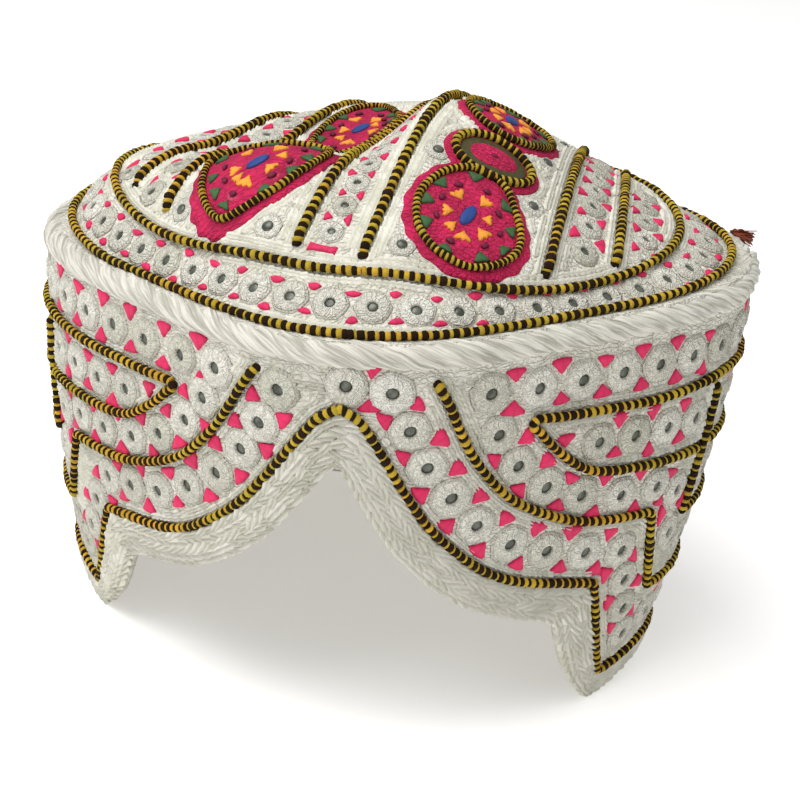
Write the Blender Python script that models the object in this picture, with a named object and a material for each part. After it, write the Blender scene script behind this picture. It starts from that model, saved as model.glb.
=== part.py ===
"""Hand embroidered prayer cap: tall side band with a front arch and pointed ear tabs, white rope rim,
tented oval crown, raised whipped cords and six embroidered medallions.

Blender 4.5, metres, +Z up. The cap stands on its hem at z = 0 and the front arch faces -Y.
Run with: blender --background --python part.py
"""
import math

import bpy
import bmesh
from mathutils import Vector

MM = 0.001

# Driving dimensions of the side band, in metres. The plan is a rounded diamond, wider at the rim.
RIM_HALF_WIDTH = 0.0940
RIM_HALF_DEPTH = 0.0855
HEM_HALF_WIDTH = 0.0845
HEM_HALF_DEPTH = 0.0750
HEM_SHIFT_X = 0.0025
RIM_HEIGHT = 0.118
RIM_TILT = 0.10
WALL_BULGE = 0.0035
CENTRE_Y = -0.0017

# Shares that turn the two ovals into the soft diamond that the worn cloth has taken.
RIM_BACK_SWELL = -0.02
RIM_DIAMOND = 0.07
HEM_DIAMOND = 0.02
HEM_SKEW = 0.02

# Cloth, rope, cords and gaps
BAND_THICKNESS = 0.0024
CROWN_THICKNESS = 0.0022
GAP = 0.0004
BAND_TOP = 0.1152
ROPE_LOW = 0.1105
ROPE_HIGH = 0.1182
ROPE_BULGE = 0.0023
ROPE_SEAT = 0.0006
CORD_RADIUS = 0.00115
CORD_SIDES = 5
CORD_STEP = 0.0090
CORD_LIFT = 0.0005
CROWN_CORD_LIFT = 0.0009
BAND_LAP = 0.0016
HEM_PAD_OUT = 0.0012
HEM_PAD_IN = 0.0034

# Crown: a low dome inside the rim, tented at its peak and sunk beside it
DOME_EDGE = 0.9555
DOME_HEIGHT = 0.01854
DOME_FULLNESS = 6.44
DOME_SHOULDER = 1.22
DOME_LEAN_X = -0.592
DOME_LEAN_Y = 0.333
FOLD_FADE = 0.20

# Hills and hollows of the crown: centre, height, then how far each reaches to its left, right and lengthways
CROWN_FOLDS = (
    {"name": "peak", "x": 0.0093, "y": -0.0096, "height": 0.0237, "left": 0.0118, "right": 0.0269, "along": 0.0328},
    {"name": "hollow", "x": -0.0414, "y": 0.0077, "height": -0.0063, "left": 0.0255, "right": 0.0255, "along": 0.0171},
    {"name": "front swell", "x": -0.0277, "y": -0.0379, "height": 0.0132, "left": 0.018, "right": 0.018, "along": 0.018},
)

# Rings on the crown, as shares of the way from its middle to the rim
OUTER_RING = 0.951
OUTER_RING_LONG = 0.012
OUTER_RING_DIAMOND = -0.010
INNER_RING = 0.8305
INNER_RING_DIAMOND = -0.0356
INNER_RING_RIGHT = -0.0229
INNER_RING_SKEW = 0.0174

# The crown's pattern is turned against the arch and fans out a little, in degrees and degrees per metre
PATTERN_TURN = 11.2
PATTERN_FAN = -190.0
PATTERN_CENTRE = 0.002
STRIP_HALF = 0.0073
PANEL_EDGE = 0.0443
SIDE_STRIP_EDGE = 0.0592

# Lower edge of half of the cap, from the front centre round to the back centre, in millimetres measured
# along the wall under the rope and up from the floor: first the arch cord, then the edge of the hem
EDGE_STATIONS = (
    {"cord_u": 0.0, "cord_v": 101.0, "edge_u": 0.0, "edge_v": 84.0, "corner": True},
    {"cord_u": 5.0, "cord_v": 98.0, "edge_u": 3.5, "edge_v": 81.0, "corner": False},
    {"cord_u": 10.0, "cord_v": 91.0, "edge_u": 7.5, "edge_v": 74.5, "corner": False},
    {"cord_u": 19.0, "cord_v": 77.0, "edge_u": 14.0, "edge_v": 65.0, "corner": False},
    {"cord_u": 27.5, "cord_v": 66.0, "edge_u": 19.5, "edge_v": 58.0, "corner": False},
    {"cord_u": 39.0, "cord_v": 56.0, "edge_u": 32.0, "edge_v": 47.0, "corner": False},
    {"cord_u": 48.0, "cord_v": 50.5, "edge_u": 43.5, "edge_v": 40.5, "corner": False},
    {"cord_u": 58.0, "cord_v": 47.0, "edge_u": 55.0, "edge_v": 36.5, "corner": False},
    {"cord_u": 70.0, "cord_v": 44.5, "edge_u": 65.5, "edge_v": 33.5, "corner": False},
    {"cord_u": 81.5, "cord_v": 42.0, "edge_u": 71.5, "edge_v": 30.0, "corner": True},
    {"cord_u": 87.0, "cord_v": 27.5, "edge_u": 77.0, "edge_v": 19.0, "corner": False},
    {"cord_u": 91.5, "cord_v": 17.0, "edge_u": 83.5, "edge_v": 10.0, "corner": False},
    {"cord_u": 96.0, "cord_v": 8.8, "edge_u": 95.0, "edge_v": 0.0, "corner": True},
    {"cord_u": 104.0, "cord_v": 9.5, "edge_u": 104.0, "edge_v": 1.0, "corner": False},
    {"cord_u": 115.0, "cord_v": 11.0, "edge_u": 115.0, "edge_v": 2.6, "corner": False},
    {"cord_u": 130.0, "cord_v": 11.5, "edge_u": 130.0, "edge_v": 3.0, "corner": False},
    {"cord_u": 148.0, "cord_v": 10.2, "edge_u": 148.0, "edge_v": 1.0, "corner": False},
    {"cord_u": 165.0, "cord_v": 9.5, "edge_u": 165.0, "edge_v": 0.0, "corner": True},
)

# Whipped cords of the band, right half, in the same two measures; corners stay sharp
SHOULDER_CORD = ((23.5, 107.6), (27.0, 102.0), (30.0, 96.0), (35.0, 87.5), (42.0, 79.0), (49.5, 72.5), (60.0, 67.0),
                 (71.0, 63.0), (82.0, 61.2), (92.0, 60.2), (98.5, 59.5, "corner"), (101.0, 52.0), (104.0, 44.0),
                 (108.5, 33.5, "corner"), (120.0, 33.0), (140.0, 33.0))
SIDE_CORD = ((118.0, 91.2), (118.5, 82.0), (117.5, 66.0), (117.0, 54.0, "corner"), (130.0, 54.0), (150.0, 54.0))
LEAF_UPPER_CORD = ((52.5, 95.0), (62.0, 94.3), (75.0, 94.0), (90.0, 93.6), (105.0, 94.0), (120.0, 94.6), (140.0, 94.6))
LEAF_LOWER_CORD = ((53.5, 91.6), (56.5, 88.3), (62.0, 83.5), (70.0, 78.2), (79.0, 76.0), (91.0, 75.0), (102.0, 74.4),
                   (115.6, 73.8))
BACK_MIDDLE_CORD = ((121.0, 74.0), (140.0, 74.0))

# Medallions in the crown's own measures, millimetres across and along the divider cords from the pattern's
# centre: the heart, then the knots of the outline round it, or half sizes and a lean in degrees for a disc
MEDALLION_LIFT = 0.0010
MEDALLION_THICKNESS = 0.0011
MEDALLION_ROOM = 0.94
MEDALLION_SIDES = 18
MEDALLIONS = (
    {"name": "medallion_front_right", "heart": (25.0, -50.4),
     "outline": ((24.8, -35.0), (20.4, -36.8), (15.9, -41.8), (13.6, -48.6), (14.3, -54.0), (16.1, -58.3),
                 (19.1, -61.4), (22.9, -63.6), (27.7, -63.7), (31.9, -61.2), (35.5, -56.9), (37.2, -52.5),
                 (36.6, -47.6), (34.2, -42.2), (30.6, -36.6))},
    {"name": "medallion_back_right", "heart": (24.8, -2.6),
     "outline": ((24.5, -16.4), (29.8, -14.0), (34.0, -8.5), (36.2, -2.5), (36.4, 3.0), (33.0, 9.5), (28.0, 12.8),
                 (22.0, 13.0), (16.5, 10.0), (13.2, 4.0), (12.7, -2.0), (14.4, -9.0), (18.8, -14.6))},
    {"name": "medallion_front_left", "heart": (-24.6, -41.8),
     "outline": ((-38.9, -31.5), (-38.3, -35.6), (-35.9, -42.0), (-33.1, -46.8), (-29.3, -51.5), (-26.0, -54.2),
                 (-23.0, -54.8), (-20.1, -53.9), (-17.2, -51.6), (-14.9, -48.0), (-12.9, -42.4), (-12.0, -35.5),
                 (-13.5, -29.8), (-19.5, -28.4), (-27.0, -27.6), (-34.5, -27.6))},
    {"name": "medallion_back_left", "heart": (-26.8, 26.8),
     "outline": ((-30.0, 8.5), (-36.2, 16.0), (-38.2, 24.0), (-38.6, 34.0), (-36.7, 42.6), (-32.0, 46.6),
                 (-24.6, 42.0), (-18.2, 33.5), (-14.0, 24.5), (-14.4, 16.5), (-18.0, 10.5), (-24.0, 7.0))},
)
DISCS = (
    {"name": "medallion_disc_right", "heart": (25.6, -28.0), "half_across": 9.6, "half_along": 7.4, "lean": 14.0},
    {"name": "medallion_disc_left", "heart": (-24.0, -10.5), "half_across": 9.0, "half_along": 9.0, "lean": 0.0},
)

TASSEL_ANGLE = 103.0
TASSEL_LENGTH = 0.0058
TASSEL_HEIGHT = 0.1161
TASSEL_DROOP = -0.05
TASSEL_ROOT = 0.0014
TASSEL_END = 0.0027

WALL_COLUMN_STEP = 0.0080
ARC_SAMPLES = 1440


def oval(angle, half_width, half_depth):
    """Distance from the centre of an oval to its edge; angle 0 is the front and grows to the right."""
    return ((math.sin(angle) / half_width) ** 2 + (math.cos(angle) / half_depth) ** 2) ** -0.5


def rim_radius(angle):
    swell = 1 + RIM_BACK_SWELL * math.cos(3 * angle) + RIM_DIAMOND * math.cos(4 * angle)
    return oval(angle, RIM_HALF_WIDTH, RIM_HALF_DEPTH) * swell


def hem_radius(angle):
    swell = 1 + HEM_DIAMOND * math.cos(4 * angle) + HEM_SKEW * math.sin(2 * angle)
    return oval(angle, HEM_HALF_WIDTH, HEM_HALF_DEPTH) * swell


def wall_point(angle, height):
    """Outer face of the side band; height is measured up the wall, from the floor to RIM_HEIGHT."""
    share = height / RIM_HEIGHT
    radius = rim_radius(angle) * share + hem_radius(angle) * (1 - share) + WALL_BULGE * 4 * share * (1 - share)
    x = radius * math.sin(angle) + HEM_SHIFT_X * (1 - share)
    y = -radius * math.cos(angle)
    return Vector((x, y + CENTRE_Y, height + share * RIM_TILT * x))


def wall_outward(angle, height):
    """Level direction that points straight out of the band."""
    step = 0.001
    along = wall_point(angle + step, height) - wall_point(angle - step, height)
    return Vector((along.y, -along.x, 0.0)).normalized()


def arc_table():
    """Length along the wall at the rope's lower edge for evenly spaced angles from the front."""
    table = [0.0]
    last = wall_point(0.0, ROPE_LOW)
    for k in range(1, ARC_SAMPLES + 1):
        here = wall_point(math.pi * k / ARC_SAMPLES, ROPE_LOW)
        table.append(table[-1] + (here - last).length)
        last = here
    return table


ARC = arc_table()
HALF_ROUND = ARC[-1]


def angle_at(length):
    """Angle at a length along the rope's lower edge; the left half is negative."""
    target = min(abs(length), HALF_ROUND)
    low, high = 0, ARC_SAMPLES
    while high - low > 1:
        middle = (low + high) // 2
        if ARC[middle] <= target:
            low = middle
        else:
            high = middle
    share = (target - ARC[low]) / (ARC[high] - ARC[low])
    return math.copysign(math.pi * (low + share) / ARC_SAMPLES, length)


def on_wall(u, v, out=0.0):
    """Point of the band at u along and v up, lifted by out from its face."""
    angle = angle_at(u)
    return wall_point(angle, v) + out * wall_outward(angle, v)


def crown_share(x, y):
    """How far a point of the plan lies on the way from the crown's middle to the rim."""
    depth = y - CENTRE_Y
    return math.hypot(x, depth) / rim_radius(math.atan2(x, -depth))


def crown_height(x, y):
    """Height of the crown's upper face."""
    depth = y - CENTRE_Y
    share = crown_share(x, y)
    inside = max(0.0, 1 - (share / DOME_EDGE) ** DOME_FULLNESS)
    lean = 1 + DOME_LEAN_X * x / 0.1 + DOME_LEAN_Y * depth / 0.09
    height = DOME_HEIGHT * lean * inside ** DOME_SHOULDER
    fade = min(1.0, max(0.0, (DOME_EDGE - share) / FOLD_FADE))
    fade = fade * fade * (3 - 2 * fade)
    for fold in CROWN_FOLDS:
        reach = fold["left"] if x < fold["x"] else fold["right"]
        across = (x - fold["x"]) / reach
        along = (depth - fold["y"]) / fold["along"]
        height += fade * fold["height"] * math.exp(-0.5 * (across * across + along * along))
    return RIM_HEIGHT + RIM_TILT * x + height


def crown_point(x, y):
    return Vector((x, y, crown_height(x, y)))


def crown_normal(x, y):
    step = 0.0005
    slope_x = (crown_height(x + step, y) - crown_height(x - step, y)) / (2 * step)
    slope_y = (crown_height(x, y + step) - crown_height(x, y - step)) / (2 * step)
    return Vector((-slope_x, -slope_y, 1.0)).normalized()


def pattern_point(across, along):
    """Plan position of a point of the crown's pattern; the divider cords run along it."""
    turn = math.radians(PATTERN_TURN + PATTERN_FAN * across)
    return Vector((across / math.cos(turn) + along * math.tan(turn), along + CENTRE_Y))


def outer_ring_share(angle):
    return OUTER_RING + OUTER_RING_LONG * math.cos(2 * angle) + OUTER_RING_DIAMOND * math.cos(4 * angle)


def inner_ring_share(angle):
    return (INNER_RING + INNER_RING_DIAMOND * math.cos(4 * angle) + INNER_RING_RIGHT * math.sin(angle)
            + INNER_RING_SKEW * math.sin(2 * angle))


def ring_plan(share_at, count):
    """Plan points of a ring on the crown, each at its share of the rim's radius."""
    points = []
    for k in range(count):
        angle = 2 * math.pi * k / count
        radius = rim_radius(angle) * share_at(angle)
        points.append(Vector((radius * math.sin(angle), -radius * math.cos(angle) + CENTRE_Y)))
    return points


def smooth_route(rows, step):
    """Points at even steps on a smooth curve through the rows, which stays sharp at rows marked corner."""
    knots = [Vector(row[:2]) * MM for row in rows]
    corner = [len(row) == 3 for row in rows]
    route = [knots[0]]
    for k in range(len(knots) - 1):
        start, end = knots[k], knots[k + 1]
        before = knots[k - 1] if k > 0 and not corner[k] else start
        after = knots[k + 2] if k + 2 < len(knots) and not corner[k + 1] else end
        pieces = max(1, round((end - start).length / step))
        for j in range(1, pieces + 1):
            t = j / pieces
            bend_in = (end - before) * 0.5
            bend_out = (after - start) * 0.5
            route.append(start * (2 * t ** 3 - 3 * t ** 2 + 1) + bend_in * (t ** 3 - 2 * t ** 2 + t)
                         + end * (-2 * t ** 3 + 3 * t ** 2) + bend_out * (t ** 3 - t ** 2))
    return route


def colour(red, green, blue, roughness):
    return {"base": (red, green, blue, 1.0), "roughness": roughness}


FINISHES = {
    "cotton_cloth": colour(0.72, 0.69, 0.60, 0.90),
    "rope_thread": colour(0.80, 0.78, 0.71, 0.85),
    "whipped_thread": colour(0.18, 0.12, 0.03, 0.70),
    "pink_thread": colour(0.75, 0.03, 0.12, 0.75),
    "tassel_thread": colour(0.20, 0.02, 0.01, 0.85),
}


def material(name):
    found = bpy.data.materials.get(name)
    if found:
        return found
    made = bpy.data.materials.new(name)
    made.use_nodes = True
    shader = made.node_tree.nodes["Principled BSDF"]
    shader.inputs["Base Color"].default_value = FINISHES[name]["base"]
    shader.inputs["Roughness"].default_value = FINISHES[name]["roughness"]
    shader.inputs["Metallic"].default_value = 0.0
    return made


def add_object(name, mesh, finish):
    mesh.materials.append(material(finish))
    thing = bpy.data.objects.new(name, mesh)
    bpy.context.scene.collection.objects.link(thing)
    return thing


def mesh_from(name, points, faces):
    mesh = bpy.data.meshes.new(name)
    mesh.from_pydata([tuple(p) for p in points], [], faces)
    work = bmesh.new()
    work.from_mesh(mesh)
    bmesh.ops.triangulate(work, faces=work.faces)
    bmesh.ops.recalc_face_normals(work, faces=work.faces)
    work.to_mesh(mesh)
    work.free()
    mesh.shade_smooth()
    return mesh


def skin(rings, closed):
    """Faces between neighbouring rings of equal length; closed joins the last ring to the first."""
    size = len(rings[0])
    points = [point for ring in rings for point in ring]
    faces = []
    for k in range(len(rings) if closed else len(rings) - 1):
        here, there = k * size, (k + 1) % len(rings) * size
        for j in range(size):
            turn = (j + 1) % size
            faces.append((here + j, there + j, there + turn, here + turn))
    if not closed:
        faces.append(tuple(range(size)))
        faces.append(tuple(range((len(rings) - 1) * size, len(rings) * size)))
    return points, faces


def tube(name, centres, normals, closed, finish="whipped_thread"):
    """Cord of CORD_SIDES sides that lies on a surface with the given normals."""
    rings = []
    count = len(centres)
    for k in range(count):
        if closed:
            tangent = centres[(k + 1) % count] - centres[k - 1]
        else:
            tangent = centres[min(k + 1, count - 1)] - centres[max(k - 1, 0)]
        tangent.normalize()
        side = tangent.cross(normals[k]).normalized()
        up = side.cross(tangent)
        ring = []
        for j in range(CORD_SIDES):
            turn = 2 * math.pi * (j + 0.5) / CORD_SIDES - math.pi / 2
            ring.append(centres[k] + CORD_RADIUS * (math.cos(turn) * side + math.sin(turn) * up))
        rings.append(ring)
    points, faces = skin(rings, closed)
    add_object(name, mesh_from(name, points, faces), finish)


def mirrored_route(rows):
    """Right half of a route, then on round the back to its mirror image on the left."""
    right = smooth_route(rows, CORD_STEP)
    reach = right[-1]
    span = 2 * (HALF_ROUND - reach.x)
    count = round(span / CORD_STEP)
    round_back = [Vector((reach.x + span * k / count, reach.y)) for k in range(1, count)]
    left = [Vector((2 * HALF_ROUND - point.x, point.y)) for point in reversed(right)]
    return right + round_back + left


def wrapped(length):
    """A length past the back centre, counted from the front on the left side."""
    return length if length <= HALF_ROUND else length - 2 * HALF_ROUND


def wall_cord(name, route, closed=False):
    lift = CORD_RADIUS + CORD_LIFT
    centres = [on_wall(wrapped(p.x), p.y, lift) for p in route]
    normals = [wall_outward(angle_at(wrapped(p.x)), p.y) for p in route]
    tube(name, centres, normals, closed)


def crown_cord(name, plan, closed=False):
    centres = []
    normals = []
    for spot in plan:
        normal = crown_normal(spot.x, spot.y)
        centres.append(crown_point(spot.x, spot.y) + (CORD_RADIUS + CROWN_CORD_LIFT) * normal)
        normals.append(normal)
    tube(name, centres, normals, closed)


def edge_line(prefix):
    rows = []
    for station in EDGE_STATIONS:
        row = (station[prefix + "_u"], station[prefix + "_v"])
        rows.append(row + ("corner",) if station["corner"] else row)
    return rows


def edge_stations():
    """Matching points of the arch cord and of the hem's edge all round the cap."""
    cord_knots = edge_line("cord")
    edge_knots = edge_line("edge")
    cord, edge = [], []
    for k in range(len(cord_knots) - 1):
        pieces = max(1, round((Vector(cord_knots[k + 1][:2]) - Vector(cord_knots[k][:2])).length * MM
                              / WALL_COLUMN_STEP))
        cord += even_part(cord_knots, k, pieces)
        edge += even_part(edge_knots, k, pieces)
    last_cord = Vector(cord_knots[-1][:2]) * MM
    last_edge = Vector(edge_knots[-1][:2]) * MM
    span = 2 * (HALF_ROUND - last_cord.x)
    count = round(span / WALL_COLUMN_STEP)
    back_cord = [Vector((last_cord.x + span * k / count, last_cord.y)) for k in range(count + 1)]
    back_edge = [Vector((last_edge.x + span * k / count, last_edge.y)) for k in range(count + 1)]
    whole = 2 * HALF_ROUND
    left_cord = [Vector((whole - p.x, p.y)) for p in reversed(cord[1:])]
    left_edge = [Vector((whole - p.x, p.y)) for p in reversed(edge[1:])]
    return cord + back_cord + left_cord, edge + back_edge + left_edge


def even_part(knots, k, pieces):
    """Points from knot k up to, but without, the next knot."""
    start, end = Vector(knots[k][:2]) * MM, Vector(knots[k + 1][:2]) * MM
    before = Vector(knots[k - 1][:2]) * MM if k > 0 and len(knots[k]) == 2 else start
    more = k + 2 < len(knots) and len(knots[k + 1]) == 2
    after = Vector(knots[k + 2][:2]) * MM if more else end
    part = []
    for j in range(pieces):
        t = j / pieces
        bend_in = (end - before) * 0.5
        bend_out = (after - start) * 0.5
        part.append(start * (2 * t ** 3 - 3 * t ** 2 + 1) + bend_in * (t ** 3 - 2 * t ** 2 + t)
                    + end * (-2 * t ** 3 + 3 * t ** 2) + bend_out * (t ** 3 - t ** 2))
    return part


def towards(start, end, distance):
    return start + (end - start).normalized() * distance


def build_side_band():
    """Cloth wall from just below the arch cord up to the seam under the rope."""
    cord, edge = edge_stations()
    rows = 5
    rings = []
    for here, low in zip(cord, edge):
        foot = towards(here, low, BAND_LAP)
        outer = []
        inner = []
        for k in range(rows + 1):
            v = foot.y + (BAND_TOP - foot.y) * k / rows
            u = foot.x + (here.x - foot.x) * k / rows
            outer.append(on_wall(wrapped(u), v))
            inner.append(on_wall(wrapped(u), v, -BAND_THICKNESS))
        rings.append(outer + inner[::-1])
    points, faces = skin(rings, True)
    add_object("side_band", mesh_from("side_band", points, faces), "cotton_cloth")


def build_hem_edging():
    """Padded white edge, thicker than the band, along the whole lower edge."""
    cord, edge = edge_stations()
    rings = []
    for here, low in zip(cord, edge):
        start = towards(here, low, BAND_LAP + GAP)
        section = ((0.0, 0.0), (0.35, HEM_PAD_OUT), (0.8, HEM_PAD_OUT), (1.0, 0.0),
                   (1.0, -BAND_THICKNESS), (0.5, -HEM_PAD_IN), (0.0, -BAND_THICKNESS))
        ring = []
        for across, out in section:
            spot = start + (low - start) * across
            ring.append(on_wall(wrapped(spot.x), spot.y, out))
        rings.append(ring)
    points, faces = skin(rings, True)
    add_object("hem_edging", mesh_from("hem_edging", points, faces), "cotton_cloth")


def build_rim_rope():
    """White rope laid over the seam, with its flat side to the cloth."""
    count = 72
    middle = (ROPE_LOW + ROPE_HIGH) / 2
    quarter = (ROPE_HIGH - ROPE_LOW) / 4
    section = ((ROPE_LOW, ROPE_SEAT), (ROPE_LOW, 0.45 * ROPE_BULGE), (middle - quarter, 0.93 * ROPE_BULGE),
               (middle + quarter, ROPE_BULGE), (ROPE_HIGH, 0.55 * ROPE_BULGE), (ROPE_HIGH, ROPE_SEAT))
    rings = []
    for k in range(count):
        angle = 2 * math.pi * k / count
        rings.append([wall_point(angle, v) + out * wall_outward(angle, v) for v, out in section])
    points, faces = skin(rings, True)
    add_object("rim_rope", mesh_from("rim_rope", points, faces), "rope_thread")


def build_crown():
    """Cloth crown: rings of points from the rim inwards, above and then below."""
    sides = 46
    shares = (0.995, "outer cord", 0.89, "inner cord", 0.75, 0.67, 0.58, 0.49, 0.40, 0.31, 0.21, 0.11)
    under_cord = {"outer cord": outer_ring_share, "inner cord": inner_ring_share}
    points = []
    for drop in (0.0, CROWN_THICKNESS):
        for share in shares:
            for spot in ring_plan(under_cord.get(share, lambda angle: share), sides):
                points.append(crown_point(spot.x, spot.y) - Vector((0, 0, drop)))
    layer = len(shares) * sides
    faces = []
    for k in range(len(shares) - 1):
        for j in range(sides):
            turn = (j + 1) % sides
            above = (k * sides + j, k * sides + turn, (k + 1) * sides + turn, (k + 1) * sides + j)
            faces.append(above)
            faces.append(tuple(index + layer for index in reversed(above)))
    for j in range(sides):
        turn = (j + 1) % sides
        faces.append((j, layer + j, layer + turn, turn))
    tops = [crown_point(0, CENTRE_Y), crown_point(0, CENTRE_Y) - Vector((0, 0, CROWN_THICKNESS))]
    first = (len(shares) - 1) * sides
    for level, top in enumerate(tops):
        points.append(top)
        for j in range(sides):
            face = (level * layer + first + j, level * layer + first + (j + 1) % sides, 2 * layer + level)
            faces.append(face if level == 0 else tuple(reversed(face)))
    add_object("crown", mesh_from("crown", points, faces), "cotton_cloth")


def divider_plan(across):
    """Plan points of one divider cord, from the inner ring at the front to the ring at the back."""
    clear = 2 * CORD_RADIUS + 0.0012
    plan = []
    step = 0.001
    count = 170
    for k in range(count):
        along = (k - count / 2) * step
        spot = pattern_point(across, along)
        depth = spot.y - CENTRE_Y
        angle = math.atan2(spot.x, -depth)
        room = inner_ring_share(angle) * rim_radius(angle) - math.hypot(spot.x, depth)
        if room > clear:
            plan.append(spot)
    pieces = max(2, round(len(plan) * step / CORD_STEP))
    return [plan[round(k * (len(plan) - 1) / pieces)] for k in range(pieces + 1)]


def build_crown_cords():
    crown_cord("crown_outer_cord", ring_plan(outer_ring_share, 58), True)
    crown_cord("crown_inner_cord", ring_plan(inner_ring_share, 52), True)
    for side, sign in (("left", -1), ("right", 1)):
        for name, offset in (("middle", STRIP_HALF), ("panel", PANEL_EDGE), ("side", SIDE_STRIP_EDGE)):
            crown_cord("divider_" + name + "_" + side, divider_plan(PATTERN_CENTRE + sign * offset))


def build_band_cords():
    cord, edge = edge_stations()
    wall_cord("arch_cord", cord, True)
    wall_cord("shoulder_cord", mirrored_route(SHOULDER_CORD))
    wall_cord("side_cord", mirrored_route(SIDE_CORD))
    wall_cord("leaf_upper_cord", mirrored_route(LEAF_UPPER_CORD))
    wall_cord("back_middle_cord", mirrored_route(BACK_MIDDLE_CORD))
    right = smooth_route(LEAF_LOWER_CORD, CORD_STEP)
    wall_cord("leaf_lower_cord_right", right)
    wall_cord("leaf_lower_cord_left", [Vector((-p.x, p.y)) for p in right])


def disc_outline(disc):
    """Knots of a disc's oval, turned by its lean."""
    lean = math.radians(disc["lean"])
    outline = []
    for j in range(MEDALLION_SIDES):
        turn = 2 * math.pi * j / MEDALLION_SIDES
        across, along = disc["half_across"] * math.sin(turn), disc["half_along"] * math.cos(turn)
        outline.append((disc["heart"][0] + across * math.cos(lean) + along * math.sin(lean),
                        disc["heart"][1] + along * math.cos(lean) - across * math.sin(lean)))
    return outline


def build_medallion(name, heart, outline):
    """Raised motif that follows the crown inside its outline."""
    points = []
    shares = (1.0, 0.5)
    sides = len(outline)
    for level in (MEDALLION_LIFT, MEDALLION_LIFT + MEDALLION_THICKNESS):
        for share in shares + (0.0,):
            for across, along in outline if share else outline[:1]:
                room = share * MEDALLION_ROOM
                spot = pattern_point(PATTERN_CENTRE + (heart[0] + (across - heart[0]) * room) * MM,
                                     (heart[1] + (along - heart[1]) * room) * MM)
                points.append(crown_point(spot.x, spot.y) + level * crown_normal(spot.x, spot.y))
    layer = len(shares) * sides + 1
    faces = []
    for j in range(sides):
        turn = (j + 1) % sides
        inner, inner_turn = sides + j, sides + turn
        centre = layer - 1
        faces.append((j, turn, layer + turn, layer + j))
        for base in (0, layer):
            faces.append((base + j, base + turn, base + inner_turn, base + inner))
            faces.append((base + inner, base + inner_turn, base + centre))
    add_object(name, mesh_from(name, points, faces), "pink_thread")


def build_medallions():
    for item in MEDALLIONS:
        build_medallion(item["name"], item["heart"], item["outline"])
    for disc in DISCS:
        build_medallion(disc["name"], disc["heart"], disc_outline(disc))


def build_tassel():
    """Short tuft of cut thread ends that stands out from the rope."""
    angle = math.radians(TASSEL_ANGLE)
    out = wall_outward(angle, TASSEL_HEIGHT)
    foot = wall_point(angle, TASSEL_HEIGHT) + (ROPE_BULGE + 0.75 * GAP) * out
    side = out.cross(Vector((0, 0, 1)))
    rings = []
    for share, radius in ((0.0, TASSEL_ROOT), (0.5, 0.85 * TASSEL_END), (1.0, TASSEL_END)):
        centre = foot + TASSEL_LENGTH * share * (out + Vector((0, 0, TASSEL_DROOP)))
        ring = []
        for j in range(8):
            turn = math.pi * j / 4
            ring.append(centre + radius * (math.cos(turn) * side + 0.8 * math.sin(turn) * Vector((0, 0, 1))))
        rings.append(ring)
    points, faces = skin(rings, False)
    add_object("rim_tassel", mesh_from("rim_tassel", points, faces), "tassel_thread")


def main():
    for thing in list(bpy.data.objects):
        bpy.data.objects.remove(thing, do_unlink=True)
    build_side_band()
    build_hem_edging()
    build_rim_rope()
    build_crown()
    build_crown_cords()
    build_band_cords()
    build_medallions()
    build_tassel()


main()
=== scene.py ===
import math

import bmesh
import bpy
import numpy as np
from mathutils import Matrix
from mathutils.kdtree import KDTree


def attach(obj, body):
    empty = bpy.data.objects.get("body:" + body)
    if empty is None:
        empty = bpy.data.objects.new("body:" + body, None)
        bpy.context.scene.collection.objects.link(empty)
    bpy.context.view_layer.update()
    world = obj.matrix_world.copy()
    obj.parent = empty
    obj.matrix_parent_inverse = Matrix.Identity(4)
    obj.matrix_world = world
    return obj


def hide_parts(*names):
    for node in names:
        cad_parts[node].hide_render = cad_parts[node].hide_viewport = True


bl_info = {
    "name": "Embroidered prayer cap",
    "version": (1, 0, 0),
    "blender": (4, 5, 0),
    "location": "View3D > Sidebar > Cap",
    "description": "Dresses the cap: whipped cords, mirrored rosettes, chain stitch, satin fills and rope",
    "category": "Add Mesh",
}

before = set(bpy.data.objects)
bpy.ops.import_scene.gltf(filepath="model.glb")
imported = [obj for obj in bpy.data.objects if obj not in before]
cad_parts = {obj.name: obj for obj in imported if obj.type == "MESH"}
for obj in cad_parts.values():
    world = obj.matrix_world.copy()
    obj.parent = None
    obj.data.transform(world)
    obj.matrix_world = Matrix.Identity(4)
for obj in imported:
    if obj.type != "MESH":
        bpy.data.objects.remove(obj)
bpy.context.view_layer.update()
MM = 0.001

# Up the wall: top of the band's cloth under the rope in millimetres, and the rope's middle in metres
BAND_TOP, ROPE_MIDDLE = 115.0, 0.1145

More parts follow.
